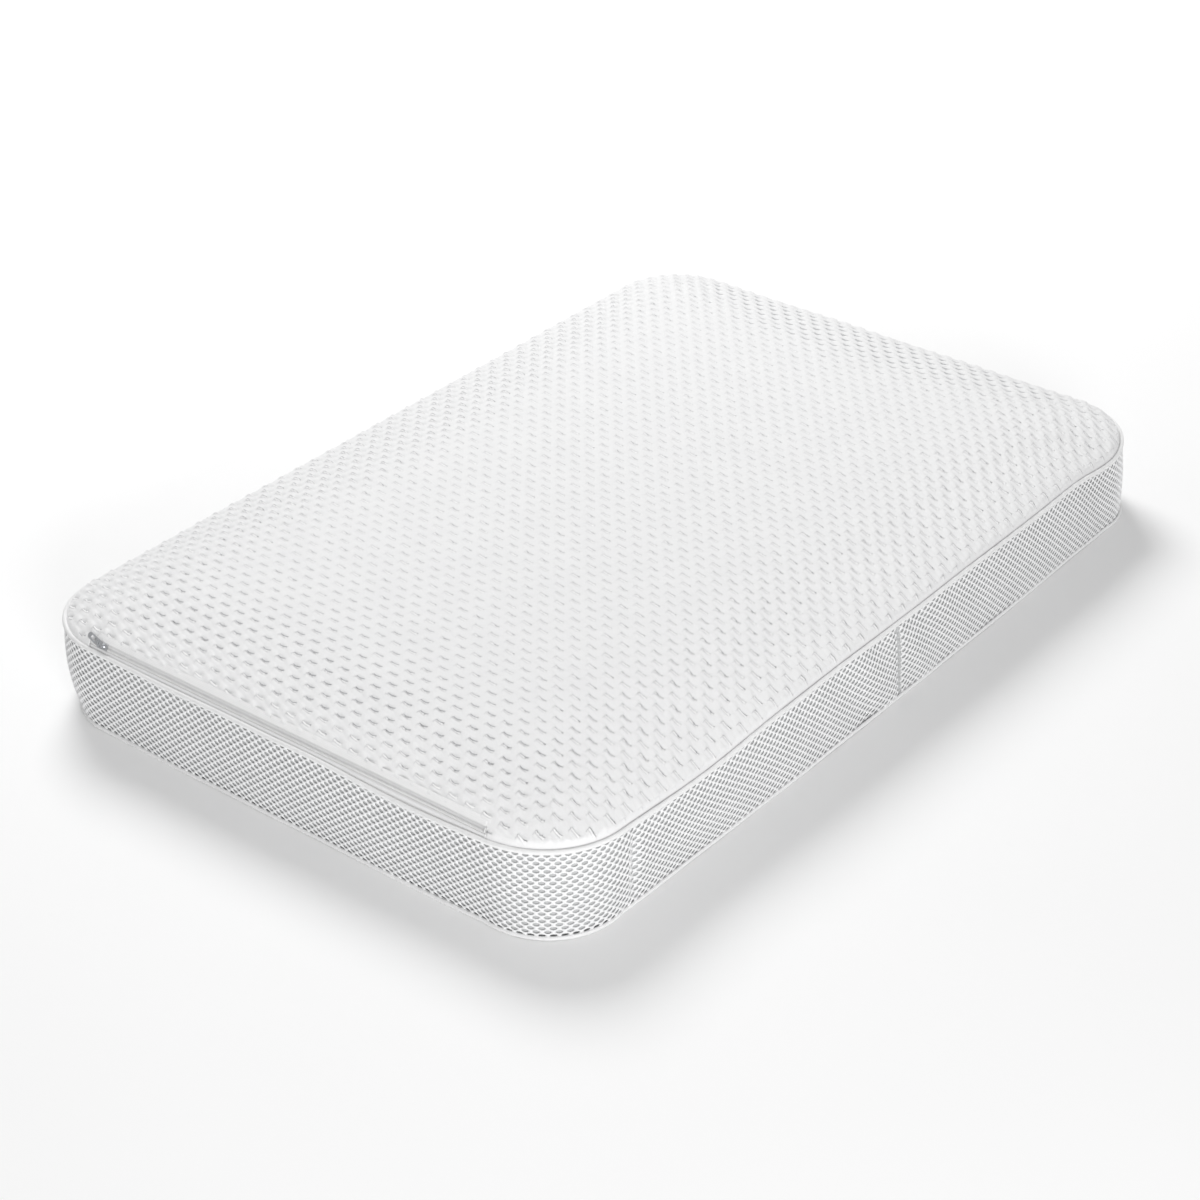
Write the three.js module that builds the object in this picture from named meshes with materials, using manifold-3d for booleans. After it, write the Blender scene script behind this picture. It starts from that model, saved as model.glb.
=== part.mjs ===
// A foam mattress in a zipped fabric cover: a two-layer foam core in a thin liner, inside a cover with a
// crowned top panel, a mesh border in two lengths, piped top and bottom seams, and a zip along one short
// side. Millimetres, +Z up. The origin is on the floor under the middle; the long way is Y and the zip is
// on the -Y side.

import * as THREE from 'three';
import { LoftGeometry } from 'three/addons/geometries/LoftGeometry.js';
import { mergeVertices } from 'three/addons/utils/BufferGeometryUtils.js';
import Module from 'manifold-3d';

const wasm = await Module();
wasm.setup();

// Overall sizes
const WIDTH = 650;
const LENGTH = 1000;
const HEIGHT = 120;
const CORNER_RADIUS = 82;
const TOP_SEAM_HEIGHT = 88;
const BOTTOM_SEAM_HEIGHT = 8;
const CROWN_RUN = 200;
const BORDER_JOIN_Y = 8;

// Cloths and clearances
const CLEARANCE = 0.3;
const TOP_CLOTH = 3;
const BOTTOM_CLOTH = 2;
const MESH_CLOTH = 3;
const LINER_CLOTH = 0.8;
const SEWN_CLOTH = 2;
const SEAM_ALLOWANCE = 9;
const THREAD = 0.6;
const JOIN_THREAD_WIDTH = 4;
const LINER_THREAD_WIDTH = 4;

// Piping: a cord in a folded strip, whose two edges make the flange
const TOP_PIPING_RADIUS = 2.3;
const BOTTOM_PIPING_RADIUS = 1.9;
const PIPING_STRIP = 0.45;

// Foam
const BASE_FOAM_TOP = 63;
const LABEL = { x: -150, width: 50, height: 30, thickness: 0.4 };

// Zip, across the band: u runs along it, v up the slope, n out of it
const ZIP_TAPE = 0.6;
const COIL_WIDTH = 1.65;
const COIL_HEIGHT = 1.9;
const COIL_SPACE = 0.9;
const LOWER_TAPE_WIDTH = 5;
const UPPER_TAPE_WIDTH = 6.6;
const TACK_WIDTH = 1.2;
const TACK_INSET = 2;

// Zip slider and its pull
const SLIDER_LENGTH = 12;
const SLIDER_PLATE = 1;
const SLIDER_WALL = 0.7;
const SLIDER_POST = 0.5;
const BRIDGE_LENGTH = 6.4;
const BRIDGE_WIDTH = 1;
const BRIDGE_BAR = 0.8;
const BRIDGE_OPENING = 1.7;
const PULL_LENGTH = 21;
const PULL_WIDTH = 6.4;
const PULL_THICKNESS = 0.9;
const PULL_EYE = { start: 0.2, end: 5.6, width: 3.6 };
const PULL_HOLE = { start: 10, end: 17, width: 3 };
const PULL_YAW = THREE.MathUtils.degToRad(15);
const SLIDER_PARK_GAP = 8.1;

// Facets
const CORNER_STEPS = 6;
const CROWN_STEPS = 8;
const CROWN_CROWDING = 2.5;
const ROUND_STEPS = 6;
const TAPE_RINGS = 2;
const BAR_SIDES = 24;

// Sizes that follow from the ones above
const SEAM_HALF_WIDTH = WIDTH / 2 - TOP_PIPING_RADIUS;
const SEAM_HALF_LENGTH = LENGTH / 2 - TOP_PIPING_RADIUS;
const EDGE_INSET = TOP_PIPING_RADIUS + CLEARANCE;
const FLANGE_HALF = PIPING_STRIP + CLEARANCE / 2;
const TOP_LIP_Z = TOP_SEAM_HEIGHT + FLANGE_HALF + CLEARANCE;
const BORDER_TOP_Z = TOP_SEAM_HEIGHT - FLANGE_HALF - CLEARANCE;
const BORDER_BOTTOM_Z = BOTTOM_SEAM_HEIGHT + FLANGE_HALF + CLEARANCE;
const BOTTOM_LIP_Z = BOTTOM_SEAM_HEIGHT - FLANGE_HALF - CLEARANCE;
const CROWN_RISE = HEIGHT - TOP_LIP_Z;
const THREAD_INSET = SEAM_ALLOWANCE + CLEARANCE;
const CORE_INSET = THREAD_INSET + THREAD + CLEARANCE;
const LINER_SIDE_INSET = MESH_CLOTH + THREAD + 2 * CLEARANCE;
const FLAT_INSET = SEAM_ALLOWANCE + BOTTOM_SEAM_HEIGHT;
const CORE_LOW_Z = BORDER_BOTTOM_Z + SEWN_CLOTH;
const CORE_HIGH_Z = BORDER_TOP_Z - SEWN_CLOTH;
const LINER_DEPTH = TOP_CLOTH + ZIP_TAPE + 4 * CLEARANCE;
const LINER_SEAM_Z = BASE_FOAM_TOP + CLEARANCE / 2;
const ZIP_HALF_LENGTH = SEAM_HALF_WIDTH - CORNER_RADIUS;

// ---------------------------------------------------------------- shape helpers

// A station is a place on the seam line, seen from above: a function from an inset to the point that far in.
function cornerStation(signX, signY, angle) {
	return (inset) => {
		const radius = CORNER_RADIUS - Math.min(inset, CORNER_RADIUS / 2);
		const x = signX * (SEAM_HALF_WIDTH - inset - radius) + radius * Math.cos(angle);
		const y = signY * (SEAM_HALF_LENGTH - inset - radius) + radius * Math.sin(angle);
		return new THREE.Vector2(x, y);
	};
}

function sideStation(signX, y) {
	return (inset) => new THREE.Vector2(signX * (SEAM_HALF_WIDTH - inset), y);
}

function corner(signX, signY, startDegrees) {
	const stations = [];
	for (let i = 0; i <= CORNER_STEPS; i++) {
		const angle = THREE.MathUtils.degToRad(startDegrees + (90 * i) / CORNER_STEPS);
		stations.push(cornerStation(signX, signY, angle));
	}
	return stations;
}

// The whole rim, anticlockwise from the corner at +X, -Y
const RIM = [...corner(1, -1, -90), ...corner(1, 1, 0), ...corner(-1, 1, 90), ...corner(-1, -1, 180)];

function plain(geometry) {
	return new THREE.BufferGeometry().copy(geometry);
}

// Each profile point is one ring around the mattress, from the lowest ring to the highest
function ringSolid(profile) {
	const rings = profile.map((point) =>
		RIM.map((station) => {
			const place = station(point.inset);
			return new THREE.Vector3(place.x, place.y, point.z);
		}),
	);
	return plain(new LoftGeometry(rings, { capStart: true, capEnd: true }));
}

// A closed profile carried along the given stations
function sweep(stations, profile, isLoop) {
	const route = isLoop ? [...stations, stations[0]] : stations;
	const sections = route.map((station) =>
		profile.map((point) => {
			const place = station(point.inset);
			return new THREE.Vector3(place.x, place.y, point.z);
		}),
	);
	return plain(new LoftGeometry(sections, { capStart: !isLoop, capEnd: !isLoop }));
}

function at(inset, z) {
	return { inset, z };
}

// The outline of a strip of cloth that follows a bent line, half its thickness to each side
function strip(line, thickness) {
	const left = [];
	const right = [];
	line.forEach((point, i) => {
		const before = line[Math.max(i - 1, 0)];
		const after = line[Math.min(i + 1, line.length - 1)];
		const into = new THREE.Vector2(point.inset - before.inset, point.z - before.z);
		const out = new THREE.Vector2(after.inset - point.inset, after.z - point.z);
		if (i === 0) into.copy(out);
		if (i === line.length - 1) out.copy(into);
		into.normalize();
		out.normalize();
		const along = into.clone().add(out).normalize();
		const reach = thickness / 2 / Math.max(along.dot(into), 0.5);
		left.push(at(point.inset - along.y * reach, point.z + along.x * reach));
		right.unshift(at(point.inset + along.y * reach, point.z - along.x * reach));
	});
	return [...left, ...right].reverse();
}

// The crown is a quarter of an ellipse, from the seam up to the flat middle
function crownHeight(inset) {
	const short = 1 - inset / CROWN_RUN;
	return TOP_LIP_Z + CROWN_RISE * Math.sqrt(1 - short * short);
}

function crownPoint(inset, depth) {
	const short = 1 - inset / CROWN_RUN;
	const slope = (CROWN_RISE * short) / (CROWN_RUN * Math.sqrt(1 - short * short));
	const tilt = Math.atan(slope);
	return at(inset + depth * Math.sin(tilt), crownHeight(inset) - depth * Math.cos(tilt));
}

// Rings from the edge to the flat middle, closer together near the edge, where the crown turns most
function crownLine(firstInset, depth) {
	const line = [];
	for (let i = 0; i <= CROWN_STEPS; i++) {
		const share = (i / CROWN_STEPS) ** CROWN_CROWDING;
		line.push(crownPoint(firstInset + (CROWN_RUN - firstInset) * share, depth));
	}
	return line;
}

function toSolid(geometry) {
	geometry.deleteAttribute('normal');
	geometry.deleteAttribute('uv');
	const merged = mergeVertices(geometry);
	return new wasm.Manifold(
		new wasm.Mesh({
			numProp: 3,
			vertProperties: Float32Array.from(merged.attributes.position.array),
			triVerts: Uint32Array.from(merged.index.array),
		}),
	);
}

function toGeometry(solid) {
	const mesh = solid.getMesh();
	const geometry = new THREE.BufferGeometry();
	geometry.setAttribute('position', new THREE.BufferAttribute(mesh.vertProperties, 3));
	geometry.setIndex(new THREE.BufferAttribute(mesh.triVerts, 1));
	geometry.computeVertexNormals();
	return geometry;
}

// A hollow piece: the outer shape less an inner one that runs out through the open side
function shell(outer, inner) {
	return toSolid(ringSolid(outer)).subtract(toSolid(ringSolid(inner)));
}

function extrude(points, length) {
	const shape = new THREE.Shape(points.map(([x, y]) => new THREE.Vector2(x, y)));
	return new THREE.ExtrudeGeometry(shape, { depth: length, bevelEnabled: false });
}

// A section across the zipped side, carried along X about the middle
function alongZip(profile, length) {
	const points = profile.map((point) => [point.inset - SEAM_HALF_LENGTH, point.z]);
	const geometry = extrude(points, length);
	geometry.translate(0, 0, -length / 2);
	const turn = new THREE.Matrix4().makeBasis(
		new THREE.Vector3(0, 1, 0),
		new THREE.Vector3(0, 0, 1),
		new THREE.Vector3(1, 0, 0),
	);
	return geometry.applyMatrix4(turn);
}

function box(from, to) {
	const geometry = new THREE.BoxGeometry(to[0] - from[0], to[1] - from[1], to[2] - from[2]);
	return geometry.translate((from[0] + to[0]) / 2, (from[1] + to[1]) / 2, (from[2] + to[2]) / 2);
}

// ---------------------------------------------------------------- the zip's place

const ZIP_FOLD = at(EDGE_INSET, TOP_LIP_Z + ZIP_TAPE);
const COIL_REACH = COIL_SPACE / 2 + COIL_WIDTH;
const ZIP_BAND = LOWER_TAPE_WIDTH + UPPER_TAPE_WIDTH;

// The band's tilt is the one that brings the upper tape's far edge up to the crown
function findZipTilt() {
	let low = 0;
	let high = Math.PI / 2;
	for (let i = 0; i < 40; i++) {
		const tilt = (low + high) / 2;
		const inset = ZIP_FOLD.inset + ZIP_BAND * Math.cos(tilt);
		const z = ZIP_FOLD.z + ZIP_BAND * Math.sin(tilt);
		if (z < crownHeight(inset) + ZIP_TAPE / 2) low = tilt;
		else high = tilt;
	}
	return low;
}

const ZIP_TILT = findZipTilt();
const ZIP_CENTRE = at(
	ZIP_FOLD.inset + LOWER_TAPE_WIDTH * Math.cos(ZIP_TILT),
	ZIP_FOLD.z + LOWER_TAPE_WIDTH * Math.sin(ZIP_TILT),
);

function atZip(v, n) {
	return at(
		ZIP_CENTRE.inset + v * Math.cos(ZIP_TILT) - n * Math.sin(ZIP_TILT),
		ZIP_CENTRE.z + v * Math.sin(ZIP_TILT) + n * Math.cos(ZIP_TILT),
	);
}

// The panel is cut back square to the band, a clearance past the upper tape's visible edge
const CUT_EDGE = UPPER_TAPE_WIDTH + CLEARANCE;

// How far up the band's slope a point lies from the zip's centre
function upSlope(point) {
	const across = point.inset - ZIP_CENTRE.inset;
	const up = point.z - ZIP_CENTRE.z;
	return across * Math.cos(ZIP_TILT) + up * Math.sin(ZIP_TILT);
}

// The crown at a depth, from where it crosses a given place on the band's slope and for a few rings more
function crownFrom(place, depth) {
	const line = crownLine(SEAM_ALLOWANCE, depth);
	const next = Math.max(1, line.findIndex((point) => upSlope(point) > place));
	const before = line[next - 1];
	const after = line[next];
	const share = (place - upSlope(before)) / (upSlope(after) - upSlope(before));
	const inset = THREE.MathUtils.lerp(before.inset, after.inset, share);
	const z = THREE.MathUtils.lerp(before.z, after.z, share);
	return [at(inset, z), ...line.slice(next, next + TAPE_RINGS)];
}

// ---------------------------------------------------------------- foam core and liner

// The outside of the core's lower half, which the liner's inner face repeats one cloth further in
function lowerCoreLine(more) {
	return [
		at(FLAT_INSET + more / 2, BOTTOM_CLOTH + CLEARANCE + more),
		at(CORE_INSET + more, BOTTOM_LIP_Z - SEWN_CLOTH + 2 * CLEARANCE + more / 2),
		at(CORE_INSET + more, CORE_LOW_Z),
		at(LINER_SIDE_INSET + more, CORE_LOW_Z + CORE_INSET),
	];
}

function upperCoreLine(more) {
	const crown = crownLine(CORE_INSET, LINER_DEPTH + more);
	return [
		at(LINER_SIDE_INSET + more, CORE_HIGH_Z - CORE_INSET),
		at(crown[0].inset, CORE_HIGH_Z - more / 2),
		...crown,
	];
}

function baseFoam() {
	const more = LINER_CLOTH + CLEARANCE;
	return ringSolid([...lowerCoreLine(more), at(LINER_SIDE_INSET + more, BASE_FOAM_TOP)]);
}

function memoryFoam() {
	const more = LINER_CLOTH + CLEARANCE;
	return ringSolid([at(LINER_SIDE_INSET + more, BASE_FOAM_TOP + CLEARANCE), ...upperCoreLine(more)]);
}

function lowerLiner() {
	const edge = LINER_SEAM_Z - CLEARANCE / 2;
	const outer = [...lowerCoreLine(0), at(LINER_SIDE_INSET, edge)];
	const inner = [...lowerCoreLine(LINER_CLOTH), at(LINER_SIDE_INSET + LINER_CLOTH, edge + LINER_CLOTH)];
	return toGeometry(shell(outer, inner));
}

function upperLiner() {
	const edge = LINER_SEAM_Z + CLEARANCE / 2;
	const outer = [at(LINER_SIDE_INSET, edge), ...upperCoreLine(0)];
	const inner = [at(LINER_SIDE_INSET + LINER_CLOTH, edge - LINER_CLOTH), ...upperCoreLine(LINER_CLOTH)];
	return toGeometry(shell(outer, inner));
}

// ---------------------------------------------------------------- cover cloths

function topPanel() {
	const outer = [at(EDGE_INSET, TOP_LIP_Z), ...crownLine(EDGE_INSET, 0)];
	const inner = [
		at(SEAM_ALLOWANCE, TOP_LIP_Z - SEWN_CLOTH),
		at(SEAM_ALLOWANCE, TOP_LIP_Z + SEWN_CLOTH),
		...crownLine(SEAM_ALLOWANCE, TOP_CLOTH),
	];
	return toGeometry(shell(outer, inner).subtract(toSolid(zipNotch())));
}

// The panel is cut square to the band, and opened out below its own thickness for the tape to run in under it
function zipNotch() {
	const reach = 3 * ZIP_BAND;
	const underside = crownFrom(CUT_EDGE, TOP_CLOTH + CLEARANCE).reverse();
	const outline = [
		at(underside[0].inset, underside[0].z - reach),
		...underside,
		atZip(CUT_EDGE, reach),
		atZip(-reach, reach),
		atZip(-reach, -reach),
	];
	return alongZip(outline, 2 * ZIP_HALF_LENGTH);
}

function bottomPanel() {
	const lipLow = BOTTOM_LIP_Z - SEWN_CLOTH;
	const outer = [
		at(FLAT_INSET, 0),
		at(FLAT_INSET / 2, BOTTOM_CLOTH / 2),
		at(EDGE_INSET, lipLow),
		at(EDGE_INSET, BOTTOM_LIP_Z),
	];
	const inner = [
		at(FLAT_INSET, BOTTOM_CLOTH),
		at(SEAM_ALLOWANCE, lipLow),
		at(SEAM_ALLOWANCE, BOTTOM_LIP_Z + SEWN_CLOTH),
	];
	return toGeometry(shell(outer, inner));
}

// How far the border's outer face stands in from the seam line: it bulges to the full width at mid height
function borderInset(share) {
	return -TOP_PIPING_RADIUS * Math.sin(Math.PI * share);
}

const WALL_LOW = BOTTOM_SEAM_HEIGHT + TOP_PIPING_RADIUS + CLEARANCE;
const WALL_HIGH = TOP_SEAM_HEIGHT - TOP_PIPING_RADIUS - CLEARANCE;

// The wall's line at a depth behind its outer face, from the bottom up
function wallLine(depth) {
	const line = [];
	for (let i = 0; i <= ROUND_STEPS; i++) {
		const share = i / ROUND_STEPS;
		const z = WALL_LOW + depth + (WALL_HIGH - WALL_LOW - 2 * depth) * share;
		line.push(at(borderInset(share) + depth, z));
	}
	return line;
}

// The border's section: a wall with both edges turned in to the seams
function borderProfile() {
	const edge = EDGE_INSET + CLEARANCE;
	return [
		at(edge, WALL_LOW),
		at(edge, BORDER_BOTTOM_Z),
		at(SEAM_ALLOWANCE, BORDER_BOTTOM_Z),
		at(SEAM_ALLOWANCE, CORE_LOW_Z),
		...wallLine(MESH_CLOTH),
		at(SEAM_ALLOWANCE, CORE_HIGH_Z),
		at(SEAM_ALLOWANCE, BORDER_TOP_Z),
		at(edge, BORDER_TOP_Z),
		at(edge, WALL_HIGH),
		...wallLine(0).reverse(),
	];
}

function borderStrip(isFront) {
	const end = CLEARANCE / 2;
	const stations = isFront
		? [
				sideStation(-1, -BORDER_JOIN_Y - end),
				...corner(-1, -1, 180),
				...corner(1, -1, 270),
				sideStation(1, BORDER_JOIN_Y - end),
			]
		: [
				sideStation(1, BORDER_JOIN_Y + end),
				...corner(1, 1, 0),
				...corner(-1, 1, 90),
				sideStation(-1, -BORDER_JOIN_Y + end),
			];
	return sweep(stations, borderProfile(), false);
}

// ---------------------------------------------------------------- piping and seam threads

function pipingCord(height, radius) {
	const cord = (radius - PIPING_STRIP) * Math.cos(Math.PI / ROUND_STEPS) - CLEARANCE;
	const profile = [];
	for (let i = 0; i < ROUND_STEPS; i++) {
		const angle = (2 * Math.PI * i) / ROUND_STEPS;
		profile.push(at(cord * Math.cos(angle), height + cord * Math.sin(angle)));
	}
	return sweep(RIM, profile, true);
}

// The strip goes out under the cord, around it and back over it, so its edges lie together as the flange
function pipingStrip(height, radius) {
	const middle = radius - PIPING_STRIP / 2;
	const layer = CLEARANCE / 2 + PIPING_STRIP / 2;
	const open = Math.asin(layer / middle);
	const line = [at(SEAM_ALLOWANCE, height - layer)];
	for (let i = 0; i <= ROUND_STEPS; i++) {
		const angle = -open - ((2 * Math.PI - 2 * open) * i) / ROUND_STEPS;
		line.push(at(middle * Math.cos(angle), height + middle * Math.sin(angle)));
	}
	line.push(at(SEAM_ALLOWANCE, height + layer));
	return sweep(RIM, strip(line, PIPING_STRIP), true);
}

function threadBand(inset, low, high) {
	return sweep(RIM, strip([at(inset + THREAD / 2, low), at(inset + THREAD / 2, high)], THREAD), true);
}

function topSeamThread() {
	return threadBand(THREAD_INSET, CORE_HIGH_Z, TOP_LIP_Z + SEWN_CLOTH);
}

function bottomSeamThread() {
	return threadBand(THREAD_INSET, BOTTOM_LIP_Z - SEWN_CLOTH + CLEARANCE, CORE_LOW_Z);
}

// The liner's two halves are joined by a band of thread outside their meeting edges
function linerSeamThread() {
	const inset = LINER_SIDE_INSET - CLEARANCE - THREAD;
	return threadBand(inset, LINER_SEAM_Z - LINER_THREAD_WIDTH / 2, LINER_SEAM_Z + LINER_THREAD_WIDTH / 2);
}

// Behind each of the border's two joins, a band of thread as high as the wall
function joinThread(signX) {
	const line = wallLine(MESH_CLOTH + CLEARANCE + THREAD / 2);
	const middle = signX * BORDER_JOIN_Y;
	const half = (signX * JOIN_THREAD_WIDTH) / 2;
	const ends = [sideStation(signX, middle - half), sideStation(signX, middle + half)];
	return sweep(ends, strip(line, THREAD), false);
}

function careLabel() {
	const inset = LINER_SIDE_INSET - 2 * CLEARANCE - THREAD - LABEL.thickness;
	const y = inset - SEAM_HALF_LENGTH;
	const top = CORE_HIGH_Z - CORE_INSET;
	return box(
		[LABEL.x - LABEL.width / 2, y, top - LABEL.height],
		[LABEL.x + LABEL.width / 2, y + LABEL.thickness, top],
	);
}

// ---------------------------------------------------------------- zip

function lowerTape() {
	const flat = TOP_LIP_Z + ZIP_TAPE / 2;
	const line = [
		at(SEAM_ALLOWANCE, flat),
		at(ZIP_FOLD.inset + ZIP_TAPE, flat),
		atZip(-LOWER_TAPE_WIDTH + ZIP_TAPE, -ZIP_TAPE / 2),
		atZip(-COIL_SPACE / 2, -ZIP_TAPE / 2),
	];
	return alongZip(strip(line, ZIP_TAPE), 2 * (ZIP_HALF_LENGTH - CLEARANCE));
}

// The upper tape turns down in front of the panel's cut edge and then runs in under the panel
function upperTape() {
	const edge = UPPER_TAPE_WIDTH - ZIP_TAPE / 2;
	const line = [
		atZip(COIL_SPACE / 2, -ZIP_TAPE / 2),
		atZip(edge, -ZIP_TAPE / 2),
		...crownFrom(edge, TOP_CLOTH + 2 * CLEARANCE + ZIP_TAPE / 2),
	];
	return alongZip(strip(line, ZIP_TAPE), 2 * (ZIP_HALF_LENGTH - CLEARANCE));
}

function coil(side) {
	const near = side * (COIL_SPACE / 2);
	const far = side * COIL_REACH;
	const low = CLEARANCE;
	const high = CLEARANCE + COIL_HEIGHT;
	const corners = [atZip(near, low), atZip(far, low), atZip(far, high), atZip(near, high)];
	return alongZip(side > 0 ? corners : corners.reverse(), 2 * (ZIP_HALF_LENGTH - CLEARANCE));
}

const COIL_TOP = CLEARANCE + COIL_HEIGHT;
const PLATE_LOW = COIL_TOP + CLEARANCE;
const PLATE_HIGH = PLATE_LOW + SLIDER_PLATE;
const SLIDER_HALF_WIDTH = COIL_REACH + CLEARANCE + SLIDER_WALL;
const TACK_PLACE = ZIP_HALF_LENGTH - TACK_INSET;
const SLIDER_PLACE = TACK_PLACE - TACK_WIDTH / 2 - SLIDER_PARK_GAP - SLIDER_LENGTH / 2;
const HINGE_HEIGHT = PLATE_HIGH + PULL_THICKNESS / 2 + CLEARANCE;

function endTack() {
	return box(
		[-TACK_WIDTH / 2, -COIL_REACH, PLATE_LOW],
		[TACK_WIDTH / 2, COIL_REACH, PLATE_LOW + THREAD],
	);
}

// Both plates have one outline: full width at the mouth, narrowing to the tail
function sliderPlate(low) {
	const half = SLIDER_LENGTH / 2;
	const tail = SLIDER_HALF_WIDTH - SLIDER_WALL / 2;
	const outline = [
		[-half, -SLIDER_HALF_WIDTH + SLIDER_WALL],
		[-half + SLIDER_WALL, -SLIDER_HALF_WIDTH],
		[half - SLIDER_WALL, -tail],
		[half, -tail + SLIDER_WALL],
		[half, tail - SLIDER_WALL],
		[half - SLIDER_WALL, tail],
		[-half + SLIDER_WALL, SLIDER_HALF_WIDTH],
		[-half, SLIDER_HALF_WIDTH - SLIDER_WALL],
	];
	return extrude(outline, SLIDER_PLATE).translate(0, 0, low);
}

// A box that lies lengthwise on the slider, given its ends, its sides and its underside and top
function sliderBlock([start, end], [right, left], [low, high]) {
	return box([start, right, low], [end, left, high]);
}

function sliderBody() {
	const half = SLIDER_LENGTH / 2;
	const underTapes = -ZIP_TAPE - CLEARANCE;
	const wallInner = COIL_REACH + CLEARANCE;
	const wallOuter = wallInner + SLIDER_WALL / 2;
	const wallEnds = [-half + 2 * SLIDER_WALL, half - 2 * SLIDER_WALL];
	const wallHeights = [CLEARANCE, PLATE_LOW + CLEARANCE];
	const post = SLIDER_POST / 2;
	const bridgeTop = PLATE_HIGH + BRIDGE_OPENING;
	const bridgeEnd = BRIDGE_LENGTH / 2;
	const bridgeSides = [-BRIDGE_WIDTH / 2, BRIDGE_WIDTH / 2];
	const legHeights = [PLATE_HIGH - CLEARANCE, bridgeTop];
	const pieces = [
		sliderPlate(PLATE_LOW),
		sliderPlate(underTapes - SLIDER_PLATE),
		sliderBlock(wallEnds, [wallInner, wallOuter], wallHeights),
		sliderBlock(wallEnds, [-wallOuter, -wallInner], wallHeights),
		sliderBlock([-half + SLIDER_WALL, -half / 2], [-post, post], [underTapes - CLEARANCE, PLATE_HIGH]),
		sliderBlock([-bridgeEnd, -bridgeEnd + BRIDGE_BAR], bridgeSides, legHeights),
		sliderBlock([bridgeEnd - BRIDGE_BAR, bridgeEnd], bridgeSides, legHeights),
		sliderBlock([-bridgeEnd, bridgeEnd], bridgeSides, [bridgeTop - CLEARANCE, bridgeTop + BRIDGE_BAR]),
	];
	const solids = pieces.map(toSolid);
	return toGeometry(solids.reduce((whole, piece) => whole.add(piece)));
}

function pullPlate() {
	const half = PULL_WIDTH / 2;
	const outline = new THREE.Shape();
	outline.moveTo(0, -half);
	outline.lineTo(-PULL_LENGTH + half, -half);
	outline.absarc(-PULL_LENGTH + half, 0, half, -Math.PI / 2, Math.PI / 2, true);
	outline.lineTo(0, half);
	outline.closePath();
	for (const hole of [PULL_EYE, PULL_HOLE]) {
		const window = new THREE.Path();
		window.moveTo(-hole.start, -hole.width / 2);
		window.lineTo(-hole.start, hole.width / 2);
		window.lineTo(-hole.end, hole.width / 2);
		window.lineTo(-hole.end, -hole.width / 2);
		window.closePath();
		outline.holes.push(window);
	}
	const options = { depth: PULL_THICKNESS, bevelEnabled: false, curveSegments: ROUND_STEPS };
	return new THREE.ExtrudeGeometry(outline, options).translate(0, 0, -PULL_THICKNESS / 2);
}

// The pull is flat, with a slot near its tip and an eye whose round end bar lies under the bridge, on the
// hinge line
function pullTab() {
	const bar = new THREE.CylinderGeometry(PULL_THICKNESS / 2, PULL_THICKNESS / 2, PULL_WIDTH, BAR_SIDES);
	return toGeometry(toSolid(pullPlate()).add(toSolid(bar)));
}

// ---------------------------------------------------------------- materials and assembly

function cloth(colour, roughness = 0.95) {
	return new THREE.MeshStandardMaterial({ color: colour, roughness, metalness: 0 });
}

function metal(colour, roughness) {
	return new THREE.MeshStandardMaterial({ color: colour, roughness, metalness: 1 });
}

const mattress = new THREE.Group();

function add(name, geometry, material, parent = mattress) {
	const mesh = new THREE.Mesh(geometry, material);
	mesh.name = name;
	parent.add(mesh);
	return mesh;
}

add('support_foam_base', baseFoam(), cloth(0xe9e6da));
add('memory_foam_layer', memoryFoam(), cloth(0xf3edd6));
add('inner_liner_lower', lowerLiner(), cloth(0xf4f4f4));
add('inner_liner_upper', upperLiner(), cloth(0xf6f6f6));

add('top_panel', topPanel(), cloth(0xf2f2f2));
add('bottom_panel', bottomPanel(), cloth(0xeeeeee));
add('border_mesh_front', borderStrip(true), cloth(0xe6e6e6));
add('border_mesh_back', borderStrip(false), cloth(0xe8e8e8));

add('top_piping_strip', pipingStrip(TOP_SEAM_HEIGHT, TOP_PIPING_RADIUS), cloth(0xf7f7f7, 0.85));
add('top_piping_cord', pipingCord(TOP_SEAM_HEIGHT, TOP_PIPING_RADIUS), cloth(0xfafafa));
add('bottom_piping_strip', pipingStrip(BOTTOM_SEAM_HEIGHT, BOTTOM_PIPING_RADIUS), cloth(0xf7f7f7, 0.85));
add('bottom_piping_cord', pipingCord(BOTTOM_SEAM_HEIGHT, BOTTOM_PIPING_RADIUS), cloth(0xfafafa));

add('top_seam_thread', topSeamThread(), cloth(0xfcfcfc));
add('bottom_seam_thread', bottomSeamThread(), cloth(0xfcfcfc));
add('liner_seam_thread', linerSeamThread(), cloth(0xfcfcfc));
add('border_join_thread_right', joinThread(1), cloth(0xfcfcfc));
add('border_join_thread_left', joinThread(-1), cloth(0xfcfcfc));
add('care_label', careLabel(), cloth(0xffffff, 0.7));

add('zip_tape_lower', lowerTape(), cloth(0xf5f5f5, 0.8));
add('zip_tape_upper', upperTape(), cloth(0xf0f0f0, 0.8));
add('zip_coil_lower', coil(-1), cloth(0xf8f8f8, 0.5));
add('zip_coil_upper', coil(1), cloth(0xf8f8f8, 0.5));

// What sits on the zip is built flat and then laid on the slope
const zipLine = new THREE.Group();
zipLine.position.set(0, ZIP_CENTRE.inset - SEAM_HALF_LENGTH, ZIP_CENTRE.z);
zipLine.rotation.x = ZIP_TILT;
mattress.add(zipLine);
for (const [name, sign] of [['zip_end_tack_left', -1], ['zip_end_tack_right', 1]]) {
	const tack = add(name, endTack(), cloth(0xfafafa), zipLine);
	tack.position.x = sign * TACK_PLACE;
}

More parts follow.
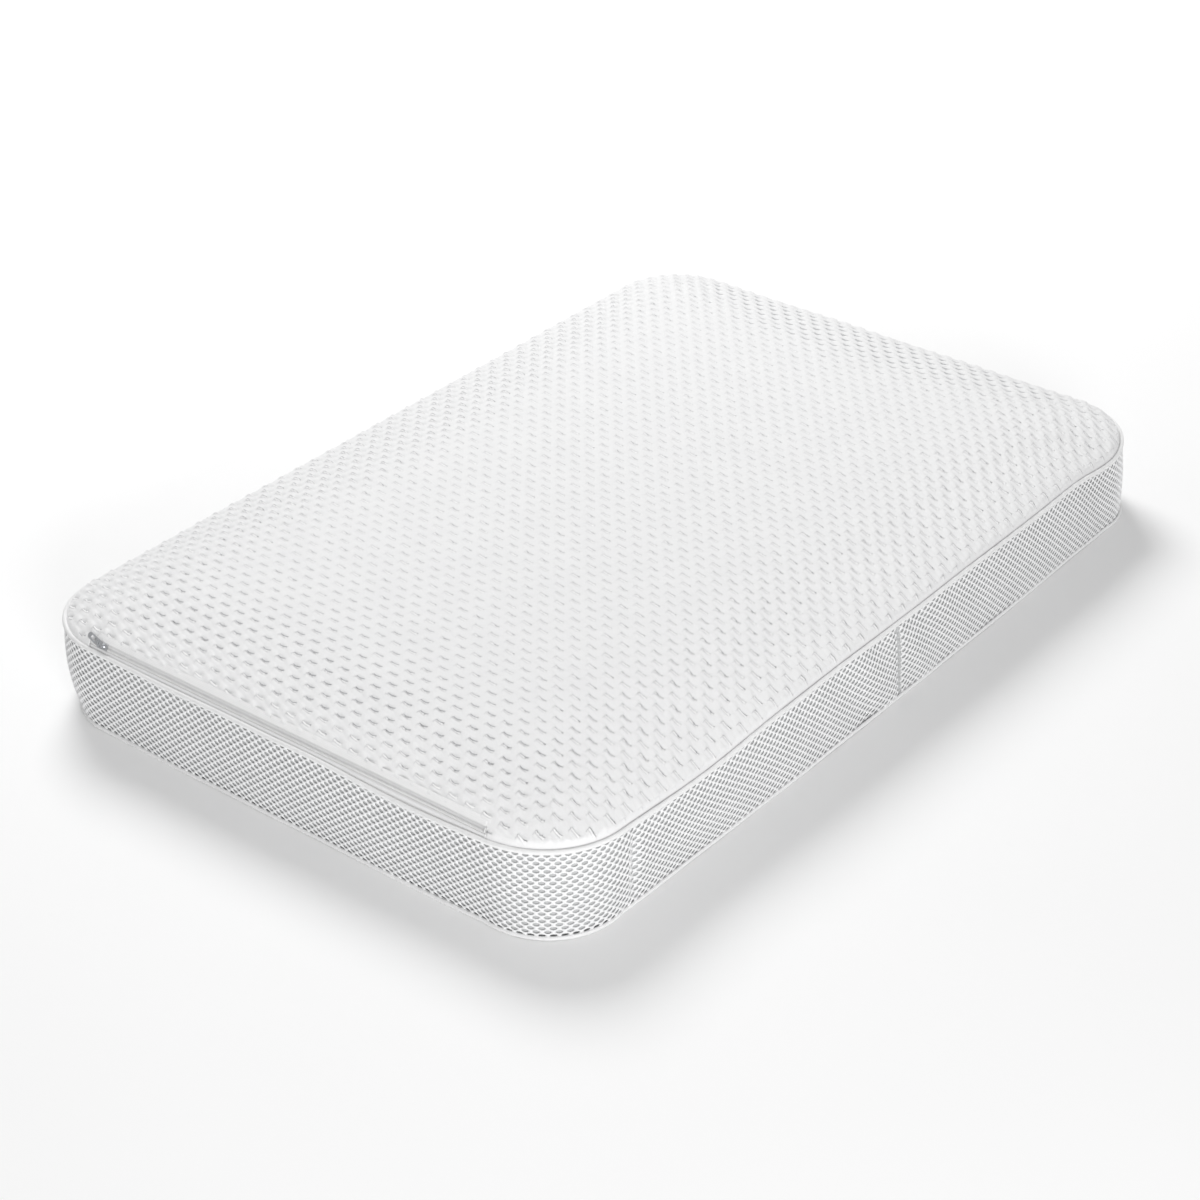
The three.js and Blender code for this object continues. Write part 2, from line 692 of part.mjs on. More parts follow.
const slider = new THREE.Group();
slider.position.x = -SLIDER_PLACE;
zipLine.add(slider);
add('zip_slider_body', sliderBody(), metal(0xc9ccd0, 0.25), slider);
const pull = add('zip_slider_pull', pullTab(), metal(0xd2d5d8, 0.22), slider);
pull.position.z = HINGE_HEIGHT;
pull.rotation.z = -PULL_YAW;

export default mattress;
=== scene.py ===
"""A foam mattress in a zipped fabric cover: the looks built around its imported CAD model.

Metres, +Z up, in the CAD model's frame: the long way is Y, and the zip is on the -Y side.
"""

import math

import bpy
import numpy as np
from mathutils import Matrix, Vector


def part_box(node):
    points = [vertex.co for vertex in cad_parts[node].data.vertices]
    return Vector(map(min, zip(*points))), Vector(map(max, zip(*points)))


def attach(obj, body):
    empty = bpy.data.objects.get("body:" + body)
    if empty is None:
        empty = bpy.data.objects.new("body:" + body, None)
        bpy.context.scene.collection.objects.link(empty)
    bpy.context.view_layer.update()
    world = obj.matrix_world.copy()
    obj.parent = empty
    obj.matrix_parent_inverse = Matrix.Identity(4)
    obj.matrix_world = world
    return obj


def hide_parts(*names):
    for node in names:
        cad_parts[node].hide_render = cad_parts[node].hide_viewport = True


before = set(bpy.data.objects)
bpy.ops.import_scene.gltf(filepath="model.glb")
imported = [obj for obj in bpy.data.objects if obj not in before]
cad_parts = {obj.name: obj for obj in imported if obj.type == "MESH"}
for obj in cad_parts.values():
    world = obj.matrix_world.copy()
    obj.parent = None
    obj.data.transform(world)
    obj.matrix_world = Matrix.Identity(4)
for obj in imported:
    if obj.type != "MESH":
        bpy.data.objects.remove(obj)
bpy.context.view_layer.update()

MM = 0.001

# ------------------------------------------------------------------ sizes

PIPING_RADIUS = 2.3 * MM
BOTTOM_PIPING_RADIUS = 1.9 * MM
FLOOR_GAP = 0.4 * MM
CROWN_RUN = 200 * MM
CLEARANCE = 0.3 * MM

# Top fabric: a knit with staggered rows of short slits, and a puff between each two slits in a row. The
# fabric sinks behind each slit, and the tab in front of it stands proud.
SLIT_PITCH = 20.2 * MM
SLIT_ROW_PITCH = 11.6 * MM
SLIT_ROW_LEAN = 0.074
SLIT_STAGGER = 0.487
SLIT_LENGTH = 10.4 * MM
SLIT_HOOK = 5 * MM
TAB_REACH = 6 * MM
TAB_HEIGHT = 1.3 * MM
TAB_FADE = 3 * MM
SLIT_REACH = 2.6 * MM
SLIT_DEPTH = 0.7 * MM
SLIT_FADE = 2 * MM
SLIT_START = 0.8 * MM
PUFF_HEIGHT = 2.8 * MM
PLAIN_MARGIN = (0.5 * MM, 4 * MM)
HALF_SLIT = SLIT_LENGTH / 2

# Border fabric: a spacer mesh with staggered rows of oval holes
HOLE_PITCH = 9.1 * MM
HOLE_ROW_PITCH = 3.8 * MM
HOLE_LENGTH = 5.8 * MM
HOLE_HEIGHT = 4.0 * MM
MESH_RELIEF = 0.35 * MM
HOLE_DEPTH = 0.7 * MM

# How finely the surfaces are divided
TOP_STEP = 1.65 * MM
TOP_EDGE_STEP = 0.8 * MM
TOP_EDGE = 10 * MM
COARSE_STEP = 14 * MM
RIM_STEP = 3 * MM
WALL_ROWS = 25
ROUNDING = 1e-6


def middle(node):
    """The middle of a CAD node's box."""
    low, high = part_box(node)
    return (low + high) / 2


STRIP_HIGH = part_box("top_piping_strip")[1]
SEAM_X = STRIP_HIGH.x - PIPING_RADIUS
SEAM_Y = STRIP_HIGH.y - PIPING_RADIUS
SEAM_Z = middle("top_piping_strip").z
BOTTOM_SEAM_Z = BOTTOM_PIPING_RADIUS + FLOOR_GAP
TOP_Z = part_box("top_panel")[1].z
ZIP_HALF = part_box("zip_tape_lower")[1].x
CORNER = SEAM_X - ZIP_HALF - CLEARANCE
JOIN_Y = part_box("border_mesh_front")[1].y
STRAIGHT_X = SEAM_X - CORNER
STRAIGHT_Y = SEAM_Y - CORNER
QUARTER = CORNER * math.pi / 2

# ------------------------------------------------------------------ the rim

# Arc length along the seam line, anticlockwise from the middle of the zipped side, with the corner centre
# and the outward angle at each place where they begin or stop changing. Each long side comes with the
# corners at its two ends.
LONG_SIDE = [QUARTER, 2 * STRAIGHT_Y, QUARTER]
RIM_KNOTS = np.cumsum([0, STRAIGHT_X, *LONG_SIDE, 2 * STRAIGHT_X, *LONG_SIDE, STRAIGHT_X])
RIM_CENTRE_X = STRAIGHT_X * np.array([0, 1, 1, 1, 1, -1, -1, -1, -1, 0])
RIM_CENTRE_Y = STRAIGHT_Y * np.array([-1, -1, -1, 1, 1, 1, 1, -1, -1, -1])
RIM_ANGLE = math.pi / 2 * np.array([-1, -1, 0, 0, 1, 1, 2, 2, 3, 3])
RIM = RIM_KNOTS[-1]
RIGHT_SIDE_START = RIM_KNOTS[2]
LEFT_SIDE_START = RIM_KNOTS[6]


def rim_frame(s):
    """Corner centre and outward direction at arc length s, which may run past either end."""
    s = np.mod(s, RIM)
    x = np.interp(s, RIM_KNOTS, RIM_CENTRE_X)
    y = np.interp(s, RIM_KNOTS, RIM_CENTRE_Y)
    angle = np.interp(s, RIM_KNOTS, RIM_ANGLE)
    return x, y, np.cos(angle), np.sin(angle)


def rim_points(s, inset, z):
    """Points that far in from the seam line at arc length s; negative insets stand out from it."""
    s, inset, z = np.broadcast_arrays(s, inset, z)
    x, y, out_x, out_y = rim_frame(s)
    reach = CORNER - inset
    return np.stack([x + reach * out_x, y + reach * out_y, z], axis=-1)


def inset_of(x, y):
    """How far a point lies in from the seam line."""
    past_x = np.abs(x) - STRAIGHT_X
    past_y = np.abs(y) - STRAIGHT_Y
    in_corner = (past_x > 0) & (past_y > 0)
    return CORNER - np.where(in_corner, np.hypot(past_x, past_y), np.maximum(past_x, past_y))


def smooth_step(value, start, end):
    """0 before the start, 1 past the end, and a smooth rise between them."""
    t = np.clip((value - start) / (end - start), 0, 1)
    return t * t * (3 - 2 * t)


def bump(value, centre, width):
    """A bell curve, 1 at its centre."""
    return np.exp(-(((value - centre) / width) ** 2))


# Where the seam sags under the fabric's pull: place on the plan, reach and depth
SEAM_DIPS = [
    ((150 * MM, -SEAM_Y), 75 * MM, 3 * MM),
    ((SEAM_X, -300 * MM), 80 * MM, 6.5 * MM),
    ((SEAM_X, 406 * MM), 42 * MM, 6 * MM),
]

# How far the sides stand out (the left one is drawn in), and how much more they do at the floor
RIGHT_BOW = 4.2 * MM
LEFT_TUCK = 1 * MM
FRONT_BOW = 2 * MM
FRONT_START = 0.5 * SEAM_Y
RIGHT_FOOT_BOW = 2 * MM
FRONT_FOOT_BOW = 1 * MM

# How far the corners swell out at the floor (the front left one is drawn in), and how fast it fades upwards
CORNER_SWELL = 7 * MM
CORNER_SWELL_FADE = 1.5
FRONT_LEFT_TUCK = 8 * MM
FRONT_LEFT_TUCK_FADE = 3


def corner_share(x, y):
    """From 0 outside the rounded corners to 1 on their diagonals at the rim, and the way out."""
    past_x = np.clip(np.abs(x) - STRAIGHT_X, 0, None)
    past_y = np.clip(np.abs(y) - STRAIGHT_Y, 0, None)
    turn = np.arctan2(past_y, past_x)
    share = np.sin(2 * turn) * np.clip(np.hypot(past_x, past_y) / CORNER, 0, 1)
    return share, np.sign(x) * np.cos(turn), np.sign(y) * np.sin(turn)


def settle(points):
    """Foam pushes the sides and the corners' feet out, and the top seam dips where the cloth is slack."""
    x, y, z = points[..., 0], points[..., 1], points[..., 2]
    height = np.clip(z / SEAM_Z, 0, 1)
    side = smooth_step(np.abs(x), 0, SEAM_X) * (1 - np.clip(y / SEAM_Y, -1, 1) ** 2)
    front = smooth_step(-y, FRONT_START, SEAM_Y) * (1 - np.clip(x / SEAM_X, -1, 1) ** 2)
    low = 1 - height
    share, out_x, out_y = corner_share(x, y)
    is_front_left = (x < 0) & (y < 0)
    tuck = -FRONT_LEFT_TUCK * low**FRONT_LEFT_TUCK_FADE
    push = share * np.where(is_front_left, tuck, CORNER_SWELL * low**CORNER_SWELL_FADE)
    moved = points.copy()
    moved[..., 0] += side * np.where(x > 0, RIGHT_BOW + RIGHT_FOOT_BOW * low, LEFT_TUCK) + push * out_x
    moved[..., 1] -= front * (FRONT_BOW + FRONT_FOOT_BOW * low) - push * out_y
    for (at_x, at_y), reach, depth in SEAM_DIPS:
        distance = np.hypot(x - at_x, y - at_y)
        moved[..., 2] -= depth * height * bump(distance, 0, reach)
    return moved


# ------------------------------------------------------------------ mesh helpers


def quad_mesh(name, points, quads, material):
    """A new object of four-sided faces that rides on the mattress."""
    points = np.ascontiguousarray(points.reshape(-1, 3), dtype=np.float32)
    quads = np.ascontiguousarray(quads.reshape(-1, 4), dtype=np.int32)
    mesh = bpy.data.meshes.new(name)
    mesh.vertices.add(len(points))
    mesh.vertices.foreach_set("co", points.ravel())
    mesh.loops.add(quads.size)
    mesh.loops.foreach_set("vertex_index", quads.ravel())
    mesh.polygons.add(len(quads))
    mesh.polygons.foreach_set("loop_start", np.arange(0, quads.size, 4, dtype=np.int32))
    mesh.update(calc_edges=True)
    mesh.shade_smooth()
    mesh.materials.append(material)
    obj = bpy.data.objects.new(name, mesh)
    bpy.context.scene.collection.objects.link(obj)
    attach(obj, "mattress")
    return obj


def grid_quads(rows, columns, closed=False):
    """Faces of a grid of points stored row by row; a closed grid joins its last column to its first."""
    row = np.arange(rows - 1)[:, None]
    column = np.arange(columns if closed else columns - 1)[None, :]
    after = (column + 1) % columns
    this_row = row * columns
    next_row = this_row + columns
    return np.stack([this_row + column, this_row + after, next_row + after, next_row + column], axis=-1)


def line_steps(half, step, edge_step, edge):
    """Places from -half to half, closer together within the edge distance of both ends."""
    inner = half - edge
    count = max(2, round(2 * inner / step))
    fine = max(1, round(edge / edge_step))
    low = np.linspace(-half, -inner, fine + 1)[:-1]
    return np.concatenate([low, np.linspace(-inner, inner, count + 1), -low[::-1]])


def round_corners(x, y):
    """Bends a grid over the seam line's rectangle so that its outer ring follows the rounded corners."""
    across = np.clip((np.abs(x) - STRAIGHT_X) / CORNER, 0, None)
    along = np.clip((np.abs(y) - STRAIGHT_Y) / CORNER, 0, None)
    in_corner = (across > 0) & (along > 0)
    radius = np.maximum(across, along)
    safe = np.where(in_corner, radius, 1)
    share = math.pi / 4 * np.minimum(across, along) / safe
    angle = np.where(across >= along, share, math.pi / 2 - share)
    corner_x = np.sign(x) * (STRAIGHT_X + CORNER * radius * np.cos(angle))
    corner_y = np.sign(y) * (STRAIGHT_Y + CORNER * radius * np.sin(angle))
    return np.where(in_corner, corner_x, x), np.where(in_corner, corner_y, y)


def full_grid(xs, ys):
    return round_corners(*np.meshgrid(xs, ys))


def tube(centres, normals, ups, radius, sides):
    """Rings of points round a line, given two directions across it at each place."""
    angles = np.linspace(0, 2 * math.pi, sides, endpoint=False)[None, :, None]
    ring = np.cos(angles) * normals[:, None, :] + np.sin(angles) * ups[:, None, :]
    return centres[:, None, :] + radius * ring


# ------------------------------------------------------------------ materials


class Shade:
    """A new Principled material whose nodes are made by short calls."""

    def __init__(self, name, colour, roughness, sheen=0.0, metallic=0.0):
        self.material = bpy.data.materials.new(name)
        self.material.use_nodes = True
        self.tree = self.material.node_tree
        self.shader = self.tree.nodes["Principled BSDF"]
        self.set("Base Color", (*colour, 1))
        self.set("Roughness", roughness)
        self.set("Metallic", metallic)
        self.set("Sheen Weight", sheen)
        self.place = self.node("ShaderNodeTexCoord").outputs["Object"]
        self.normal = None

    def node(self, kind, inputs=None, **settings):
        node = self.tree.nodes.new(kind)
        for key, value in settings.items():
            setattr(node, key, value)
        for key, value in (inputs or {}).items():
            self.feed(node.inputs[key], value)
        return node

    def feed(self, socket, value):
        if isinstance(value, bpy.types.NodeSocket):
            self.tree.links.new(value, socket)
        else:
            socket.default_value = value

    def set(self, name, value):
        self.feed(self.shader.inputs[name], value)

    def math(self, operation, first, second=0.0, third=0.0):
        inputs = {0: first, 1: second, 2: third}
        return self.node("ShaderNodeMath", inputs, operation=operation).outputs[0]

    def split(self, vector):
        return self.node("ShaderNodeSeparateXYZ", {0: vector}).outputs

    def noise(self, scale, detail=2.0):
        inputs = {"Vector": self.place, "Scale": scale, "Detail": detail}
        return self.node("ShaderNodeTexNoise", inputs).outputs["Fac"]

    def cells(self, scale):
        inputs = {"Vector": self.place, "Scale": scale}
        return self.node("ShaderNodeTexVoronoi", inputs).outputs["Distance"]

    def wave(self, coordinate, pitch):
        """A smooth rib from 0 to 1 and back for each pitch along a coordinate."""
        turns = self.math("MULTIPLY", coordinate, 2 * math.pi / pitch)
        return self.math("MULTIPLY_ADD", self.math("SINE", turns), 0.5, 0.5)

    def blend(self, factor, first, second):
        """A mix of two colours, each of them a socket or three numbers."""
        node = self.node("ShaderNodeMix", data_type="RGBA")
        colours = [socket for socket in node.inputs if socket.type == "RGBA"]
        self.feed(node.inputs[0], factor)
        for socket, colour in zip(colours, (first, second)):
            self.feed(socket, colour if isinstance(colour, bpy.types.NodeSocket) else (*colour, 1))
        return next(socket for socket in node.outputs if socket.type == "RGBA")

    def bump(self, height, distance, strength=1.0):
        """Relief of that depth, on top of any relief the material already has."""
        inputs = {"Height": height, "Distance": distance, "Strength": strength}
        if self.normal is not None:
            inputs["Normal"] = self.normal
        self.normal = self.node("ShaderNodeBump", inputs).outputs["Normal"]
        self.set("Normal", self.normal)

    def paint(self, factor, first, second):
        self.set("Base Color", self.blend(factor, first, second))

    def box_mask(self, across, along, across_range, along_range, soft):
        """1 inside a rectangle in two coordinates, fading to 0 over a soft edge outside it."""
        least = None
        for coordinate, (low, high) in ((across, across_range), (along, along_range)):
            from_middle = self.math("ABSOLUTE", self.math("SUBTRACT", coordinate, (low + high) / 2))
            inside = self.math("SUBTRACT", (high - low) / 2 + soft, from_middle)
            least = inside if least is None else self.math("MINIMUM", least, inside)
        inputs = {0: least, 1: soft}
        return self.node("ShaderNodeMath", inputs, operation="DIVIDE", use_clamp=True).outputs[0]


def knit_cloth(name, light, dark, loop, depth):
    """Plain fine knit: small loops in columns, with a faint mottling and painted shade between the loops."""
    shade = Shade(name, light, 0.9, sheen=0.15)
    x, y, z = shade.split(shade.place)
    across = shade.wave(shade.math("ADD", x, z), loop)
    along = shade.wave(shade.math("ADD", y, z), 0.8 * loop)
    loops = shade.math("MULTIPLY", across, along)
    shade.bump(loops, depth)
    mottling = shade.noise(scale=60.0, detail=4.0)
    # The colour mixes a random mottling with painted shade, darker where the loops are low
    mottling_and_loop_shade = shade.math("MULTIPLY_ADD", mottling, 0.6, shade.math("MULTIPLY", loops, 0.4))
    shade.paint(mottling_and_loop_shade, dark, light)
    return shade.material


# Dark marks painted round each slit, as ranges along and across it, the softness of their edges, and their
# strength: painted shade in the slit itself, in the short leg at its end and behind the slit, and a thin
# dark line in front of the lip
SLIT_MARKS = [
    ((-HALF_SLIT, HALF_SLIT - 1 * MM), (-0.1 * MM, 0.3 * MM), 0.35 * MM, 1.0),
    ((-HALF_SLIT - 0.2 * MM, -HALF_SLIT + 0.1 * MM), (-SLIT_HOOK, 0), 0.35 * MM, 0.4),
    ((-HALF_SLIT, 0), (0, 1.4 * MM), 1.2 * MM, 0.22),
    ((-HALF_SLIT + 0.8 * MM, HALF_SLIT - 2 * MM), (-3.3 * MM, -3 * MM), 0.3 * MM, 0.3),
]

# The painted highlight on the lip of the tab, in the same way
SLIT_LIP_HIGHLIGHT = ((-HALF_SLIT + 0.8 * MM, HALF_SLIT - 1 * MM), (-2.3 * MM, -0.9 * MM), 0.5 * MM)


def top_cloth():
    """Fine knit with slits: each a line of painted shade with a short leg, behind its tab's painted
    highlight.
    """
    shade = Shade("top_knit", (0.86, 0.86, 0.865), 0.92, sheen=0.2)
    x, y, _ = shade.split(shade.place)
    row = shade.math("DIVIDE", shade.math("MULTIPLY_ADD", x, SLIT_ROW_LEAN, y), SLIT_ROW_PITCH)
    column = shade.math("MULTIPLY_ADD", row, SLIT_STAGGER, shade.math("DIVIDE", x, SLIT_PITCH))
    past_row = shade.math("SUBTRACT", row, shade.math("ROUND", row))
    row_place = shade.math("MULTIPLY_ADD", past_row, -SLIT_STAGGER, column)
    past_column = shade.math("SUBTRACT", row_place, shade.math("ROUND", row_place))
    past = shade.math("MULTIPLY", past_column, SLIT_PITCH)
    above = shade.math("MULTIPLY", past_row, SLIT_ROW_PITCH)
    fade = shade.node("ShaderNodeAttribute", attribute_name="painted_slit_fade").outputs["Fac"]
    # Painted shade round each slit, from the marks above, faded by the panel's attribute
    dark = 0.0
    for along_range, across_range, soft, strength in SLIT_MARKS:
        mark = shade.box_mask(past, above, along_range, across_range, soft)
        dark = shade.math("MAXIMUM", dark, shade.math("MULTIPLY", mark, strength))
    dark = shade.math("MULTIPLY", dark, fade)
    lip = shade.math("MULTIPLY", shade.box_mask(past, above, *SLIT_LIP_HIGHLIGHT), fade)
    shade.bump(shade.math("SUBTRACT", shade.math("MULTIPLY", lip, 0.7), dark), distance=0.8 * MM)
    shade.bump(shade.cells(scale=900.0), distance=0.25 * MM, strength=0.6)
    mottling = shade.noise(scale=25.0, detail=3.0)
    plain = shade.blend(mottling, (0.81, 0.81, 0.815), (0.86, 0.86, 0.86))
    # The tab's lip gets a painted highlight, and the slits a grey of painted shade on top of it
    lit = shade.blend(lip, plain, (0.97, 0.97, 0.97))
    shade.paint(shade.math("MULTIPLY", dark, 0.7), lit, (0.46, 0.47, 0.49))
    return shade.material


def mesh_cloth():
    """Open spacer mesh: smooth white threads with a very fine rib."""
    shade = Shade("border_mesh_thread", (0.84, 0.845, 0.85), 0.75, sheen=0.3)
    shade.bump(shade.cells(scale=1500.0), distance=0.15 * MM, strength=0.5)
    shade.paint(shade.noise(scale=40.0, detail=3.0), (0.78, 0.785, 0.79), (0.88, 0.88, 0.885))
    return shade.material


def backing_cloth():
    """The mesh's inner face, seen through the holes, painted a darker grey for the shade it lies in."""
    shade = Shade("border_mesh_backing", (0.52, 0.525, 0.53), 0.95)
    shade.bump(shade.cells(scale=700.0), distance=0.3 * MM)
    shade.paint(shade.noise(scale=90.0, detail=3.0), (0.47, 0.475, 0.48), (0.57, 0.575, 0.58))
    return shade.material


def piping_cloth():
    """A tight twill strip round a cord."""
    shade = Shade("piping_twill", (0.9, 0.9, 0.9), 0.7, sheen=0.25)
    x, y, z = shade.split(shade.place)
    slanted = shade.math("ADD", shade.math("ADD", x, y), shade.math("MULTIPLY", z, 1.6))
    shade.bump(shade.wave(slanted, pitch=0.9 * MM), distance=0.12 * MM)
    shade.paint(shade.noise(scale=80.0, detail=3.0), (0.86, 0.86, 0.86), (0.93, 0.93, 0.93))
    return shade.material


def tape_cloth():
    """Zip tape: ribs along its length, crossed by fine picks, with painted shade between the ribs."""
    light, dark = (0.93, 0.93, 0.93), (0.88, 0.88, 0.88)
    shade = Shade("zip_tape_weave", light, 0.75, sheen=0.2)
    x, y, z = shade.split(shade.place)
    up_slope = shade.math("ADD", shade.math("MULTIPLY", y, ZIP_UP.y), shade.math("MULTIPLY", z, ZIP_UP.z))
    ribs = shade.wave(up_slope, pitch=1.3 * MM)
    picks = shade.wave(x, pitch=0.8 * MM)
    shade.bump(ribs, distance=0.25 * MM)
    shade.bump(picks, distance=0.08 * MM)
    # Painted shade: the colour darkens where the ribs are low
    shade.paint(ribs, dark, light)
    return shade.material


def thread():
    """Sewing thread with the twist of its plies."""
    shade = Shade("sewing_thread", (0.9, 0.9, 0.9), 0.6, sheen=0.2)
    x, y, z = shade.split(shade.place)
    twist = shade.math("ADD", shade.math("ADD", x, y), z)
    shade.bump(shade.wave(twist, pitch=0.7 * MM), distance=0.1 * MM)
    shade.paint(shade.noise(scale=200.0), (0.85, 0.85, 0.85), (0.93, 0.93, 0.93))
    return shade.material


def nylon():
    """Smooth nylon with a little gloss."""
    shade = Shade("coil_nylon", (0.88, 0.88, 0.88), 0.35)
    shade.set("Coat Weight", 0.15)
    shade.paint(shade.noise(scale=300.0), (0.84, 0.84, 0.84), (0.92, 0.92, 0.92))
    return shade.material


def foam(name, light, dark, cell):
    """Open-cell foam: fine pores with painted shade in them, and a soft random mottling."""
    shade = Shade(name, light, 0.95)
    pores = shade.cells(scale=1 / cell)
    shade.bump(pores, distance=0.4 * MM)
    mottling = shade.noise(scale=15.0, detail=4.0)
    # Painted shade in the pores, mixed with a random mottling
    shade.paint(shade.math("MULTIPLY_ADD", pores, 0.5, mottling), dark, light)
    return shade.material


def slider_metal():
    """Bright nickel plate with faint tumbling marks."""
    shade = Shade("slider_nickel", (0.62, 0.63, 0.65), 0.22, metallic=1.0)
    marks = shade.noise(scale=500.0, detail=3.0)
    shade.bump(marks, distance=0.008 * MM, strength=0.5)
    shade.set("Roughness", shade.math("MULTIPLY_ADD", marks, 0.12, 0.24))
    shade.paint(shade.noise(scale=250.0), (0.56, 0.57, 0.59), (0.7, 0.71, 0.73))
    return shade.material


# ------------------------------------------------------------------ the zip's place

COIL_LOW = middle("zip_coil_lower")
COIL_HIGH = middle("zip_coil_upper")
ZIP_CENTRE = (COIL_LOW + COIL_HIGH) / 2
ZIP_CENTRE.x = 0
ZIP_UP = (COIL_HIGH - COIL_LOW).normalized()
ZIP_OUT = Vector((1, 0, 0)).cross(ZIP_UP)
COIL_SPACING = (COIL_HIGH - COIL_LOW).length
COIL_RADIUS = 1.0 * MM

# The tapes lie this deep behind the coils' middle, with a folded lip on each side of the coils
TAPE_DEPTH = 1.7 * MM
TAPE_LIP = 2.7 * MM
LIP_WIDTH = 1.5 * MM
LIP_DEPTH = 0.3 * MM
LIP_SLANT = 0.4 * MM
TAPE_GAP = 0.1 * MM
TAPE_DIVE = 5 * MM

# The lower tape rises past the seam's height beside the piping, and the upper one runs in under the panel
TAPE_RISE = 1.2 * MM
TAPE_LEAN = 0.6 * MM
TAPE_TAIL = 4 * MM
TAPE_TAIL_DROP = 1.2 * MM

# How far up the zip's slope the panel's edge lies, at the zip's left end and at its right end
FABRIC_EDGE = (6 * MM, 4 * MM)


def zip_points(x, up, out):
    """Points by their place along the zip, up its slope and out from the middle of the coils."""
    x, up, out = np.broadcast_arrays(x, up, out)
    y = ZIP_CENTRE.y + up * ZIP_UP.y + out * ZIP_OUT.y
    z = ZIP_CENTRE.z + up * ZIP_UP.z + out * ZIP_OUT.z
    return np.stack([x, y, z], axis=-1)


# ------------------------------------------------------------------ top panel

# The panel rises from a crease beside the piping
TOP_RIM_INSET = 2.0 * MM
CREASE_RUN = 3 * MM
CREASE_Z = SEAM_Z - 0.6 * MM
CROWN_EDGE_Z = SEAM_Z + 0.5 * PIPING_RADIUS

# Over the zip its edge is drawn back and rolled under, and it stays as straight as the zip. FAR is further
# than any of these runs.
OPENING_START = ZIP_HALF - 5 * MM
OPENING_END = ZIP_HALF + 2 * MM
HEM_FADE = 50 * MM
HEM_SHALLOW = 1 * MM
HEM_DEEP = 5 * MM
HEM_RADIUS = 2 * MM
HELD_RUN = 40 * MM
FAR = 1.0

# The swell: the most that a point moves, its frames, its run in from the rim, and how far it may sink
SWELL_CAP = 5 * MM
SWELL_FRAMES = 20
SWELL_RUN = 20 * MM
SWELL_SINK = 0.8 * MM

# The relief is fuller near the edges, where the fabric is looser, and the whole panel is faintly rumpled
EDGE_RELIEF = 1.35
RELIEF_DROP = 0.7
TAUT_START = 30 * MM
TAUT_END = 150 * MM
RUMPLE_HEIGHT = 0.6 * MM
RUMPLE_X = 31
RUMPLE_Y = 23


def crown(inset):
    """Height of the plain crown: a quarter of an ellipse that starts in a crease beside the piping."""
    short = 1 - np.clip(inset / CROWN_RUN, 0, 1)
    height = CROWN_EDGE_Z + (TOP_Z - CROWN_EDGE_Z) * np.sqrt(1 - short * short)
    in_crease = 1 - np.clip((inset - TOP_RIM_INSET) / CREASE_RUN, 0, 1)
    return CREASE_Z + (height - CREASE_Z) * np.sqrt(1 - in_crease * in_crease)


def zip_opening(x):
    """1 along the zip, falling to 0 at its ends, where the panel closes over it."""
    return 1 - smooth_step(np.abs(x), OPENING_START, OPENING_END)


def hem_inset(x):
    """How far the panel's front edge is drawn back over the zip."""
    share = np.clip((x + ZIP_HALF) / (2 * ZIP_HALF), 0, 1)
    edge = FABRIC_EDGE[0] + (FABRIC_EDGE[1] - FABRIC_EDGE[0]) * share
    place = (ZIP_CENTRE.y + SEAM_Y) + edge * ZIP_UP.y
    return place * zip_opening(x)


def top_plan(xs, ys):
    """The panel's grid on the plan, its front edge drawn back over the zip."""
    x, y = full_grid(xs, ys)
    hem = hem_inset(x) + TOP_RIM_INSET
    inset = inset_of(x, y)
    from_front = y + SEAM_Y
    is_front = (np.abs(x) < STRAIGHT_X + ROUNDING) & (from_front < HEM_FADE)
    squeezed = hem + from_front * (HEM_FADE - hem) / HEM_FADE
    y = np.where(is_front, squeezed - SEAM_Y, y)
    x_in = np.where(inset < TOP_RIM_INSET, TOP_RIM_INSET - inset, 0)
    return x - np.sign(x) * np.where(is_front, 0, x_in), y


def resample(coarse, old, new):
    """Smoothly resamples the first axis of an array from one set of places to a finer one."""
    place = np.interp(new, old, np.arange(len(old)))
    start = np.clip(np.floor(place).astype(int), 0, len(old) - 2)
    t = (place - start)[:, None, None]
    before, after = coarse[start], coarse[start + 1]
    slope_before = (after - coarse[np.maximum(start - 1, 0)]) / 2
    slope_after = (coarse[np.minimum(start + 2, len(old) - 1)] - before) / 2
    return (
        (2 * t**3 - 3 * t**2 + 1) * before
        + (t**3 - 2 * t**2 + t) * slope_before
        + (3 * t**2 - 2 * t**3) * after
        + (t**3 - t**2) * slope_after
    )


def inflate(points, quads, is_rim):
    """Air pressure swells a coarse sheet held along its rim; no point moves further than the cap."""
    obj = quad_mesh("swelling_sheet", points, quads, bpy.data.materials.new("scratch"))
    group = obj.vertex_groups.new(name="rim")
    group.add(np.flatnonzero(is_rim.ravel()).tolist(), 1.0, "REPLACE")
    cloth = obj.modifiers.new("cloth", "CLOTH")
    settings = cloth.settings
    settings.quality = 6
    settings.mass = 0.3
    settings.tension_stiffness = 12
    settings.compression_stiffness = 12
    settings.bending_stiffness = 1.5
    settings.use_pressure = True
    settings.uniform_pressure_force = 4
    settings.vertex_group_mass = "rim"
    settings.effector_weights.gravity = 0
    cloth.point_cache.frame_start = 1
    cloth.point_cache.frame_end = SWELL_FRAMES
    for frame_number in range(1, SWELL_FRAMES + 1):
        bpy.context.scene.frame_set(frame_number)
    blown_up = obj.evaluated_get(bpy.context.evaluated_depsgraph_get()).data
    after = np.empty(len(blown_up.vertices) * 3, np.float32)
    blown_up.vertices.foreach_get("co", after)
    bpy.data.objects.remove(obj)
    bpy.context.scene.frame_set(1)
    move = after.reshape(points.shape) - points
    length = np.linalg.norm(move, axis=-1, keepdims=True)
    return move * np.minimum(1, SWELL_CAP / np.maximum(length, ROUNDING))


